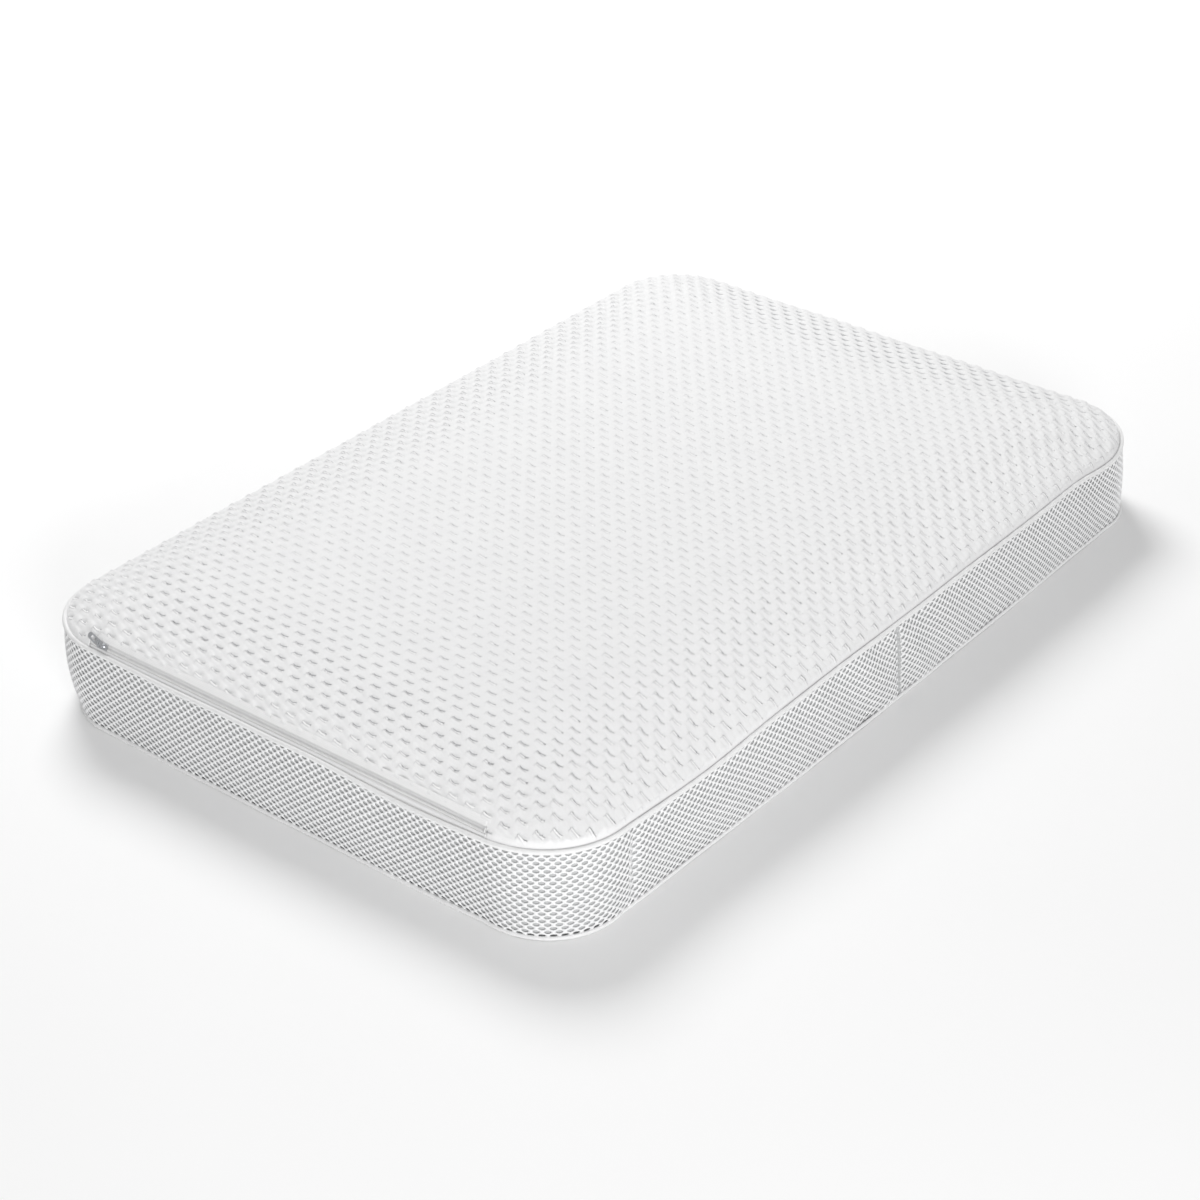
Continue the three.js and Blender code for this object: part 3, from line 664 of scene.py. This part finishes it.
def swell(xs, ys):
    """How far the panel swells at the places of a fine grid, from a coarse cloth simulation."""
    coarse_x = line_steps(SEAM_X, COARSE_STEP, COARSE_STEP / 2, COARSE_STEP)
    coarse_y = line_steps(SEAM_Y, COARSE_STEP, COARSE_STEP / 2, COARSE_STEP)
    x, y = top_plan(coarse_x, coarse_y)
    z = crown(inset_of(x, y))
    points = np.stack([x, y, z], axis=-1)
    is_rim = np.zeros(x.shape, bool)
    is_rim[[0, -1], :] = True
    is_rim[:, [0, -1]] = True
    move = inflate(points, grid_quads(len(coarse_y), len(coarse_x)), is_rim)
    move = resample(move, coarse_y, ys)
    return resample(move.transpose(1, 0, 2), coarse_x, xs).transpose(1, 0, 2)


def slit_pattern(x, y):
    """Height of the fabric, like roof tiles: it sinks behind each slit, and the tab stands proud."""
    row = (y + SLIT_ROW_LEAN * x) / SLIT_ROW_PITCH
    column = x / SLIT_PITCH + SLIT_STAGGER * row
    past_row = row - np.round(row)
    row_place = column - SLIT_STAGGER * past_row
    past = (row_place - np.round(row_place)) * SLIT_PITCH
    above = past_row * SLIT_ROW_PITCH
    begun = smooth_step(past, -HALF_SLIT - SLIT_START, -HALF_SLIT + SLIT_START)
    tab_share = begun * (1 - smooth_step(past, HALF_SLIT - TAB_FADE, HALF_SLIT + TAB_FADE))
    slit_share = begun * (1 - smooth_step(past, -HALF_SLIT, HALF_SLIT + SLIT_FADE))
    tab = tab_share * TAB_HEIGHT * np.exp(above / TAB_REACH)
    sink = slit_share * SLIT_DEPTH * np.exp(-above / SLIT_REACH)
    puff = PUFF_HEIGHT * (0.5 - 0.5 * np.cos(2 * math.pi * column) * np.cos(math.pi * row) ** 2)
    return puff + np.where(above > 0, -sink, tab)


def swollen(points, inset, move):
    """The crown with its swell added, brought back to the panel's height and kept off the foam."""
    crown_z = points[..., 2]
    moved = points + move * smooth_step(inset, 0, SWELL_RUN)[..., None]
    z = moved[..., 2]
    z = SEAM_Z + (z - SEAM_Z) * (TOP_Z - SEAM_Z) / (z.max() - SEAM_Z)
    moved[..., 2] = np.maximum(z, crown_z - SWELL_SINK)
    return moved


def top_panel():
    """The patterned panel: crown, swell, the hem rolled under over the zip, relief, and the seam's dips."""
    xs = line_steps(SEAM_X, TOP_STEP, TOP_EDGE_STEP, TOP_EDGE)
    ys = line_steps(SEAM_Y, TOP_STEP, TOP_EDGE_STEP, TOP_EDGE)
    x, y = top_plan(xs, ys)
    inset = inset_of(x, y)
    points = np.stack([x, y, crown(inset)], axis=-1)
    points = swollen(points, inset, swell(xs, ys))
    hem = hem_inset(x)
    from_hem = np.where(np.abs(x) < ZIP_HALF, y + SEAM_Y - hem, FAR)
    rolled = 1 - np.clip(from_hem / HEM_RADIUS, 0, 1)
    over_zip = smooth_step(hem, HEM_SHALLOW, HEM_DEEP)
    points[..., 2] -= over_zip * HEM_RADIUS * (1 - np.sqrt(1 - rolled * rolled))
    fade = smooth_step(np.minimum(inset - TOP_RIM_INSET, from_hem), *PLAIN_MARGIN)
    relief = EDGE_RELIEF - RELIEF_DROP * smooth_step(inset, TAUT_START, TAUT_END)
    points[..., 2] += fade * relief * (slit_pattern(x, y) - TAB_HEIGHT)
    points[..., 2] += fade * RUMPLE_HEIGHT * np.sin(x * RUMPLE_X) * np.sin(y * RUMPLE_Y + 1)
    held = over_zip * (1 - smooth_step(from_hem, 0, HELD_RUN))
    points = points + (1 - held)[..., None] * (settle(points) - points)
    panel = quad_mesh("top_panel_knit", points, grid_quads(len(ys), len(xs)), top_cloth())
    # How strongly the slits' painted shade and highlight show: faded at the margins and weaker in the taut
    # middle
    painted_slit_fade = panel.data.attributes.new("painted_slit_fade", "FLOAT", "POINT")
    painted_slit_fade.data.foreach_set("value", (fade * np.minimum(relief, 1)).astype(np.float32).ravel())
    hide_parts("top_panel")


# ------------------------------------------------------------------ border

# The wall's heights, its bulge, its tuck at the seams, and the ripple, whose waves are in radians per metre
WALL_LOW_Z = BOTTOM_SEAM_Z + 0.8 * MM
WALL_HIGH_Z = SEAM_Z - 1.0 * MM
WALL_HEIGHT = WALL_HIGH_Z - WALL_LOW_Z
WALL_BULGE = 2.4 * MM
WALL_TUCK = 1.4 * MM
WALL_TUCK_SHARE = 0.06
WALL_OVERLAP = 0.02
WALL_RIPPLE = 0.7 * MM
WALL_RIPPLE_WAVES = (37, 11)
WALL_RIPPLE_SLANT = 3
BACKING_DEPTH = HOLE_DEPTH + 0.9 * MM
BACKING_OVERLAP = 2 * MM

# The two joins: a valley, waves that die away from it, and a lean from the bottom seam to the top one
JOIN_RIGHT = RIGHT_SIDE_START + JOIN_Y + STRAIGHT_Y
JOIN_LEFT = LEFT_SIDE_START + STRAIGHT_Y + JOIN_Y
JOIN_VALLEY = 1.2 * MM
JOIN_VALLEY_WIDTH = 6 * MM
JOIN_WAVE = 1.3 * MM
JOIN_WAVE_STEP = 11 * MM
JOIN_WAVE_SLANT = 5
JOIN_WAVE_REACH = 110 * MM
JOIN_LEAN = 11 * MM
JOIN_LEAN_REACH = 60 * MM

# The strip along each join, with a lip on each side of its groove
JOIN_FOLD = 5.2 * MM
JOIN_COLUMNS = 27
JOIN_LIP_PLACE = 1.5 * MM
JOIN_LIP_WIDTH = 0.7 * MM
JOIN_GROOVE_DEPTH = 1.6 * MM
JOIN_GROOVE_WIDTH = 0.9 * MM
JOIN_TUCK = 1 * MM
JOIN_TUCK_RUN = 3 * MM

# The upright crease beside the corner at the zip's right end
CORNER_CREASE_PLACE = RIGHT_SIDE_START + 14 * MM
CORNER_CREASE_DEPTH = 4.2 * MM
CORNER_CREASE_SLANT = 4 * MM
CORNER_CREASE_WIDTH = 6 * MM


def along_rim(s, place):
    """Signed distance along the seam line from a place, the shorter way round."""
    return np.mod(s - place + RIM / 2, RIM) - RIM / 2


def wall(s, up, depth=0.0):
    """The border's face at arc length s and a share of its height, or a depth behind it."""
    s, up = np.broadcast_arrays(s, up)
    belly = np.sin(math.pi * np.clip(up, 0, 1))
    edge = np.clip(np.minimum(up, 1 - up) / WALL_TUCK_SHARE, 0, 1)
    inset = WALL_TUCK * (1 - np.sqrt(1 - (1 - edge) ** 2)) - WALL_BULGE * belly
    leaned = s
    for join in (JOIN_RIGHT, JOIN_LEFT):
        away = along_rim(s, join)
        wave = np.sin(away / JOIN_WAVE_STEP + JOIN_WAVE_SLANT * up)
        inset = inset + JOIN_VALLEY * bump(away, 0, JOIN_VALLEY_WIDTH)
        inset = inset + JOIN_WAVE * wave * bump(away, 0, JOIN_WAVE_REACH)
        leaned = leaned + (0.5 - up) * JOIN_LEAN * bump(away, 0, JOIN_LEAN_REACH)
    crease = bump(s, CORNER_CREASE_PLACE + CORNER_CREASE_SLANT * up, CORNER_CREASE_WIDTH)
    inset = inset + CORNER_CREASE_DEPTH * crease * np.sin(math.pi * up)
    short_wave, long_wave = WALL_RIPPLE_WAVES
    inset = inset + WALL_RIPPLE * np.sin(s * short_wave + WALL_RIPPLE_SLANT * up) * np.sin(s * long_wave)
    z = WALL_LOW_Z + WALL_HEIGHT * up
    return settle(rim_points(leaned, inset + depth, z))


def hole_cells(columns, rows):
    """Points and faces of a flat lattice of six-sided cells, each with an oval hole with a turned-in wall.

    Points are (columns along, rows up), with their depths behind the face. A cell's outline is laid out on a
    lattice of whole numbers, 4 to a column and 6 to a row, so that neighbours share their points.
    """
    lattice = np.array([4, 6])
    outline_x = np.array([2, 1, 0, -1, -2, -2, -2, -1, 0, 1, 2, 2])
    outline_y = np.array([2, 3, 4, 3, 2, 0, -2, -3, -4, -3, -2, 0])
    sides = len(outline_x)
    angle = np.arctan2(outline_y / lattice[1] * HOLE_ROW_PITCH, outline_x / lattice[0] * HOLE_PITCH)
    hole_x = np.cos(angle) * HOLE_LENGTH / 2 / HOLE_PITCH
    hole_y = np.sin(angle) * HOLE_HEIGHT / 2 / HOLE_ROW_PITCH
    column, row = np.meshgrid(np.arange(columns), np.arange(rows))
    column, row = column.ravel(), row.ravel()
    key_x = lattice[0] * column + lattice[0] // 2 * (row % 2)
    key_y = lattice[1] * row
    keys = np.stack([key_x[:, None] + outline_x, key_y[:, None] + outline_y], axis=-1).reshape(-1, 2)
    shared, index = np.unique(keys, axis=0, return_inverse=True)
    outline = index.reshape(-1, sides)
    centre = np.stack([key_x, key_y], axis=-1) / lattice
    hole = (centre[:, None, :] + np.stack([hole_x, hole_y], axis=-1)).reshape(-1, 2)
    rim = len(shared) + np.arange(len(hole)).reshape(-1, sides)
    inner = rim + len(hole)
    flat = np.concatenate([shared / lattice, hole, hole])
    depths = (np.full(len(shared), -MESH_RELIEF), np.zeros(len(hole)), np.full(len(hole), HOLE_DEPTH))
    following = np.roll(np.arange(sides), -1)
    face = np.stack([outline, outline[:, following], rim[:, following], rim], axis=-1)
    turned_in = np.stack([rim, rim[:, following], inner[:, following], inner], axis=-1)
    return flat, np.concatenate(depths), np.concatenate([face.reshape(-1, 4), turned_in.reshape(-1, 4)])


def border_piece(name, points, quads, material):
    """A piece of the border that rides on the mattress."""
    piece = quad_mesh(name, points, quads, material)
    return piece


def border_strip(name, node, start, end, mesh_material, backing_material):
    """One length of the border from one join to the other: the holed face and its inner face."""
    length = end - start
    rows = round(WALL_HEIGHT / HOLE_ROW_PITCH)
    columns = round(length / HOLE_PITCH)
    flat, depth, quads = hole_cells(columns, rows)
    # Every second row starts half a pitch on, so the lattice is half a pitch longer than its columns
    s = start + (flat[:, 0] + 0.25) * length / (columns + 0.5)
    up = (flat[:, 1] + 0.5) / rows
    tuck = JOIN_TUCK * (1 - smooth_step(np.minimum(s - start, end - s), 0, JOIN_TUCK_RUN))
    points = wall(s, np.clip(up, -WALL_OVERLAP, 1 + WALL_OVERLAP), depth + tuck)
    face = border_piece(name, points, quads, mesh_material)
    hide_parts(node)
    places = np.linspace(start - BACKING_OVERLAP, end + BACKING_OVERLAP, round(length / RIM_STEP))
    ups = np.linspace(0, 1, WALL_ROWS)
    points = wall(places[None, :], ups[:, None], BACKING_DEPTH)
    border_piece(name + "_backing", points, grid_quads(WALL_ROWS, len(places)), backing_material)


def join_fold(name, join, material):
    """The seam where two lengths of border meet: their edges fold in along a plain strip."""
    across = np.linspace(-JOIN_FOLD, JOIN_FOLD, JOIN_COLUMNS)
    ups = np.linspace(0, 1, WALL_ROWS)
    lip = bump(np.abs(across), JOIN_LIP_PLACE, JOIN_LIP_WIDTH) * (MESH_RELIEF + HOLE_DEPTH)
    depth = HOLE_DEPTH + JOIN_GROOVE_DEPTH * bump(across, 0, JOIN_GROOVE_WIDTH) - lip
    points = wall(join + across[None, :], ups[:, None], depth[None, :])
    border_piece(name, points, grid_quads(WALL_ROWS, JOIN_COLUMNS), material)


def border():
    mesh, backing = mesh_cloth(), backing_cloth()
    # The join's strip is painted a darker grey than the mesh: painted shade, so the join reads as a dark
    # line
    fold = knit_cloth("join_knit", (0.6, 0.605, 0.61), (0.5, 0.505, 0.51), loop=1 * MM, depth=0.2 * MM)
    join_fold("border_join_fold_right", JOIN_RIGHT, fold)
    join_fold("border_join_fold_left", JOIN_LEFT, fold)
    front_start = JOIN_LEFT - RIM
    border_strip("border_mesh_front_knit", "border_mesh_front", front_start, JOIN_RIGHT, mesh, backing)
    border_strip("border_mesh_back_knit", "border_mesh_back", JOIN_RIGHT, JOIN_LEFT, mesh, backing)


# ------------------------------------------------------------------ piping

PIPING_SIDES = 14
PIPING_WAVES = (41, 17, 29)


def piping(name, nodes, z, radius, wobble, material):
    """A round edging along a seam, a little wavy as sewn piping is."""
    places = np.linspace(0, RIM, round(RIM / RIM_STEP), endpoint=False)
    _, _, out_x, out_y = rim_frame(places)
    first, second, third = (np.sin(places * wave + phase) for wave, phase in zip(PIPING_WAVES, (0, 1, 0)))
    centres = settle(rim_points(places, wobble * first * second, z + wobble * third))
    normals = np.stack([out_x, out_y, np.zeros_like(out_x)], axis=-1)
    ups = np.tile(np.array([0.0, 0.0, 1.0]), (len(places), 1))
    rings = tube(centres, normals, ups, radius, PIPING_SIDES)
    rings = np.concatenate([rings, rings[:1]])
    obj = quad_mesh(name, rings, grid_quads(len(rings), PIPING_SIDES, closed=True), material)
    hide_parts(*nodes)


def pipings():
    material = piping_cloth()
    top_nodes = ["top_piping_strip", "top_piping_cord"]
    bottom_nodes = ["bottom_piping_strip", "bottom_piping_cord"]
    piping("top_piping", top_nodes, SEAM_Z, PIPING_RADIUS, 0.4 * MM, material)
    piping("bottom_piping", bottom_nodes, BOTTOM_SEAM_Z, BOTTOM_PIPING_RADIUS, 0.35 * MM, material)


# ------------------------------------------------------------------ zip

TAPE_COLUMNS = 240
COIL_PITCH = 1.35 * MM
COIL_STEPS = 12
COIL_FLATNESS = 0.75
COIL_LEAN = 0.25 * COIL_PITCH
LOOP_RADIUS = 0.3 * MM
LOOP_SIDES = 5


def zip_place(y, z):
    """A point of the zip's cross-section as its place up its slope and out of it."""
    from_centre = Vector((0, y, z)) - Vector((0, ZIP_CENTRE.y, ZIP_CENTRE.z))
    return from_centre.dot(ZIP_UP), from_centre.dot(ZIP_OUT)


def tape(name, node, profile, material, settled, dive):
    """A zip tape: a ribbon whose profile gives its places up and out of the zip's slope, free edge first.

    The free edge follows the seam by the settled share, and the edge at the coil stays straight.
    The ends dive under the panel to the dive's depth.
    """
    xs = np.linspace(-ZIP_HALF, ZIP_HALF, TAPE_COLUMNS)
    ups, outs = np.array(profile).T[:, :, None]
    points = zip_points(xs[None, :], ups, outs - dive * (1 - zip_opening(xs[None, :])))
    share = settled * (ups - ups[-1]) / (ups[0] - ups[-1])
    points = points + share[..., None] * (settle(points) - points)
    obj = quad_mesh(name, points, grid_quads(len(profile), len(xs)), material)
    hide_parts(node)


def coil(name, node, side, material):
    """One coil of the closed zip: flattened loops that reach a little past the middle."""
    turns = round(2 * ZIP_HALF / COIL_PITCH)
    angle = np.linspace(0, 2 * math.pi * turns, turns * COIL_STEPS)
    x = -ZIP_HALF + 2 * ZIP_HALF * angle / angle[-1] + side * COIL_LEAN
    up = side * (COIL_SPACING / 2 - COIL_RADIUS * np.cos(angle))
    centres = zip_points(x, up, COIL_FLATNESS * COIL_RADIUS * np.sin(angle))
    ahead = np.gradient(centres, axis=0)
    ahead /= np.linalg.norm(ahead, axis=1, keepdims=True)
    outward = centres - zip_points(x, side * COIL_SPACING / 2, 0)
    across = np.cross(ahead, outward)
    across /= np.linalg.norm(across, axis=1, keepdims=True)
    rings = tube(centres, across, np.cross(across, ahead), LOOP_RADIUS, LOOP_SIDES)
    obj = quad_mesh(name, rings, grid_quads(len(rings), LOOP_SIDES, closed=True), material)
    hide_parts(node)


def tape_lip(side):
    """The last part of a tape's profile: its folded lip and its edge beside the coils."""
    return [
        (side * (TAPE_LIP + LIP_WIDTH), -LIP_DEPTH),
        (side * TAPE_LIP, -LIP_DEPTH),
        (side * (TAPE_LIP - LIP_SLANT), -TAPE_DEPTH),
        (side * TAPE_GAP, -TAPE_DEPTH),
    ]


def zip_closure():
    """The lower tape comes up from the piping's seam, and the upper one from under the panel's hem."""
    weave = tape_cloth()
    rim_y = TOP_RIM_INSET - SEAM_Y
    lower = [
        zip_place(rim_y, SEAM_Z - TAPE_RISE),
        zip_place(rim_y + TAPE_LEAN, SEAM_Z + TAPE_RISE),
        *tape_lip(-1),
    ]
    upper = [(FABRIC_EDGE[0] + TAPE_TAIL, -TAPE_DEPTH - TAPE_TAIL_DROP), *tape_lip(1)]
    tape("zip_tape_lower_weave", "zip_tape_lower", lower, weave, settled=1, dive=0)
    tape("zip_tape_upper_weave", "zip_tape_upper", upper, weave, settled=0, dive=TAPE_DIVE)
    loops = nylon()
    coil("zip_coil_lower_loops", "zip_coil_lower", -1, loops)
    coil("zip_coil_upper_loops", "zip_coil_upper", 1, loops)


WELD_DISTANCE = 0.01 * MM
BEVEL_SEGMENTS = 3
BEVEL_ANGLE = math.radians(30)


def repaint(obj, material):
    obj.data.materials.clear()
    obj.data.materials.append(material)


def bevelled(name, node, body, width, material):
    """A CAD piece with its edges rounded off."""
    obj = bpy.data.objects.new(name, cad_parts[node].data.copy())
    bpy.context.scene.collection.objects.link(obj)
    weld = obj.modifiers.new("weld", "WELD")
    weld.merge_threshold = WELD_DISTANCE
    bevel = obj.modifiers.new("bevel", "BEVEL")
    bevel.width = width
    bevel.segments = BEVEL_SEGMENTS
    bevel.angle_limit = BEVEL_ANGLE
    smoothed = bpy.data.meshes.new_from_object(obj.evaluated_get(bpy.context.evaluated_depsgraph_get()))
    obj.modifiers.clear()
    obj.data = smoothed
    repaint(obj, material)
    smoothed.shade_smooth()
    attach(obj, body)
    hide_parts(node)


def slider():
    material = slider_metal()
    bevelled("slider_body_plated", "zip_slider_body", "slider", width=0.18 * MM, material=material)
    bevelled("slider_pull_plated", "zip_slider_pull", "pull", width=0.16 * MM, material=material)


# ------------------------------------------------------------------ bottom, core and liner

# The bottom panel lies on the floor and curves up to the seam
BOTTOM_STEPS = (6 * MM, 2 * MM, 18 * MM)
BOTTOM_Z = 0.6 * MM
BOTTOM_RISE = BOTTOM_SEAM_Z - 1.2 * MM
BOTTOM_RISE_RUN = 16 * MM
BOTTOM_RIPPLE = 0.4 * MM
BOTTOM_RIPPLE_WAVES = (45, 38)
BOTTOM_RIPPLE_RUN = 40 * MM

# Foam and liner: the rounding of the edges, and how far the liner lies off the foam
SLAB_STEPS = (16 * MM, 4 * MM, 16 * MM)
EDGE_RISE = 12 * MM
BASE_RUN = 14 * MM
SOFT_RUN = 190 * MM
LINER_GAP = 0.5 * MM


def bottom_panel():
    x, y = full_grid(line_steps(SEAM_X, *BOTTOM_STEPS), line_steps(SEAM_Y, *BOTTOM_STEPS))
    inset = inset_of(x, y)
    rise = 1 - np.clip(inset / BOTTOM_RISE_RUN, 0, 1)
    z = BOTTOM_Z + BOTTOM_RISE * (1 - np.sqrt(1 - rise * rise))
    wave_x, wave_y = BOTTOM_RIPPLE_WAVES
    ripple = np.sin(x * wave_x) * np.sin(y * wave_y)
    z = z + BOTTOM_RIPPLE * ripple * smooth_step(inset, 0, BOTTOM_RIPPLE_RUN)
    quads = grid_quads(*x.shape)[..., ::-1]
    cloth = knit_cloth("bottom_knit", (0.84, 0.84, 0.84), (0.76, 0.76, 0.76), loop=1.4 * MM, depth=0.3 * MM)
    panel = quad_mesh("bottom_panel_knit", settle(np.stack([x, y, z], axis=-1)), quads, cloth)
    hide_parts("bottom_panel")


def slab(name, node, inset, top, low, material, is_open=False):
    """A slab given by the heights of its top and underside, or an open cover: its top and sides alone."""
    x, y = full_grid(line_steps(SEAM_X, *SLAB_STEPS), line_steps(SEAM_Y, *SLAB_STEPS))
    x, y = x * (SEAM_X - inset) / SEAM_X, y * (SEAM_Y - inset) / SEAM_Y
    from_edge = inset_of(x, y) - inset
    rows, columns = x.shape
    index = np.arange(rows * columns).reshape(rows, columns)
    loop = np.concatenate([index[0, :-1], index[:-1, -1], index[-1, :0:-1], index[:0:-1, 0]])
    after = np.roll(loop, -1)
    upper = settle(np.stack([x, y, top(from_edge)], axis=-1)).reshape(-1, 3)
    lower = settle(np.stack([x, y, low(from_edge)], axis=-1)).reshape(-1, 3)
    quads = grid_quads(rows, columns).reshape(-1, 4)
    if is_open:
        below = len(upper) + np.arange(len(loop))
        sides = np.stack([np.roll(below, -1), below, loop, after], axis=-1)
        points = np.concatenate([upper, lower[loop]])
        piece = quad_mesh(name, points, np.concatenate([quads, sides]), material)
    else:
        sides = np.stack([after, loop, loop + len(upper), after + len(upper)], axis=-1)
        faces = np.concatenate([quads, quads[:, ::-1] + len(upper), sides])
        piece = quad_mesh(name, np.concatenate([upper, lower]), faces, material)
    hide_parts(node)
    return piece


def rounded(edge, flat, run):
    """Heights that go from the edge to the flat middle on a quarter of an ellipse."""
    return lambda depth: edge + (flat - edge) * np.sqrt(1 - (1 - np.clip(depth / run, 0, 1)) ** 2)


def level(height):
    """The same height everywhere."""
    return lambda depth: np.full_like(depth, height)


def core():
    """Two foam layers, rounded at their outer edges."""
    base_low, base_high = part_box("support_foam_base")
    soft_low, soft_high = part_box("memory_foam_layer")
    inset = SEAM_X - base_high.x
    base = slab(
        "support_foam_slab",
        "support_foam_base",
        inset,
        level(base_high.z),
        rounded(base_low.z + EDGE_RISE, base_low.z, BASE_RUN),
        foam("support_foam", (0.78, 0.76, 0.68), (0.66, 0.63, 0.55), cell=0.9 * MM),
    )
    soft = slab(
        "memory_foam_slab",
        "memory_foam_layer",
        inset,
        rounded(soft_low.z + EDGE_RISE, soft_high.z, SOFT_RUN),
        level(soft_low.z),
        foam("memory_foam", (0.86, 0.8, 0.62), (0.76, 0.7, 0.52), cell=0.6 * MM),
    )


def liner(name, node, edge, flat, run, material):
    """A liner half is an open cover that lies on its foam."""
    low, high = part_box(node)
    seam = low.z if flat > edge else high.z
    inset = SEAM_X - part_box("support_foam_base")[1].x - LINER_GAP
    piece = slab(name, node, inset, rounded(edge, flat, run), level(seam), material, is_open=True)


def liners():
    """The thin knitted liner round the foam, in two halves."""
    cloth = knit_cloth("liner_knit", (0.88, 0.88, 0.88), (0.8, 0.8, 0.8), loop=1.1 * MM, depth=0.2 * MM)
    base_low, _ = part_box("support_foam_base")
    soft_low, soft_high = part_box("memory_foam_layer")
    base_edge, base_flat = base_low.z + EDGE_RISE - LINER_GAP, base_low.z - LINER_GAP
    soft_edge, soft_flat = soft_low.z + EDGE_RISE + LINER_GAP, soft_high.z + LINER_GAP
    liner("liner_lower_knit", "inner_liner_lower", base_edge, base_flat, BASE_RUN, cloth)
    liner("liner_upper_knit", "inner_liner_upper", soft_edge, soft_flat, SOFT_RUN, cloth)


def finish_cad_nodes():
    """The small CAD pieces that keep their shape get their own materials."""
    material = thread()
    for name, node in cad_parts.items():
        if "thread" in name or "tack" in name:
            repaint(node, material)
    satin = knit_cloth("label_satin", (0.9, 0.9, 0.9), (0.84, 0.84, 0.84), loop=0.5 * MM, depth=0.05 * MM)
    repaint(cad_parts["care_label"], satin)


# ------------------------------------------------------------------ studio


def floor():
    mesh = bpy.data.meshes.new("floor")
    half = 8.0
    corners = [(-half, -half, 0), (half, -half, 0), (half, half, 0), (-half, half, 0)]
    mesh.from_pydata(corners, [], [(0, 1, 2, 3)])
    shade = Shade("floor_paint", (0.96, 0.96, 0.96), 0.9)
    shade.paint(shade.noise(scale=3.0), (0.95, 0.95, 0.95), (0.97, 0.97, 0.97))
    mesh.materials.append(shade.material)
    obj = bpy.data.objects.new("floor", mesh)
    bpy.context.scene.collection.objects.link(obj)


def soft_light(name, place, size, power):
    """A round area light, its size in metres and its power in watts, aimed at the mattress."""
    data = bpy.data.lights.new(name, "AREA")
    data.shape = "DISK"
    data.size = size
    data.energy = power
    obj = bpy.data.objects.new(name, data)
    obj.location = place
    obj.rotation_euler = (-Vector(place)).to_track_quat("-Z", "Y").to_euler()
    bpy.context.scene.collection.objects.link(obj)


def studio():
    floor()
    world = bpy.data.worlds.new("studio")
    world.use_nodes = True
    background = world.node_tree.nodes["Background"]
    background.inputs["Color"].default_value = (1, 1, 1, 1)
    background.inputs["Strength"].default_value = 0.46
    bpy.context.scene.world = world
    soft_light("key", place=(-2.2, 1.4, 2.6), size=1.9, power=94)
    soft_light("front_fill", place=(2.6, -2.2, 0.8), size=1.4, power=60)
    bpy.context.scene.view_settings.view_transform = "Standard"


def camera():
    """The view: from above the corner between the zipped side and the long side at +X."""
    data = bpy.data.cameras.new("camera")
    data.sensor_width = 36
    data.lens = 84.7
    data.clip_end = 50
    obj = bpy.data.objects.new("camera", data)
    azimuth, elevation, distance = math.radians(38.2), math.radians(31.74), 2.8645
    target = Vector((-7.65 * MM, -24.76 * MM, 0))
    back = Vector(
        (
            math.sin(azimuth) * math.cos(elevation),
            -math.cos(azimuth) * math.cos(elevation),
            math.sin(elevation),
        )
    )
    obj.location = target + distance * back
    obj.rotation_euler = back.to_track_quat("Z", "Y").to_euler()
    bpy.context.scene.collection.objects.link(obj)
    bpy.context.scene.camera = obj


camera()
studio()
core()
liners()
finish_cad_nodes()
bottom_panel()
border()
pipings()
zip_closure()
slider()
top_panel()
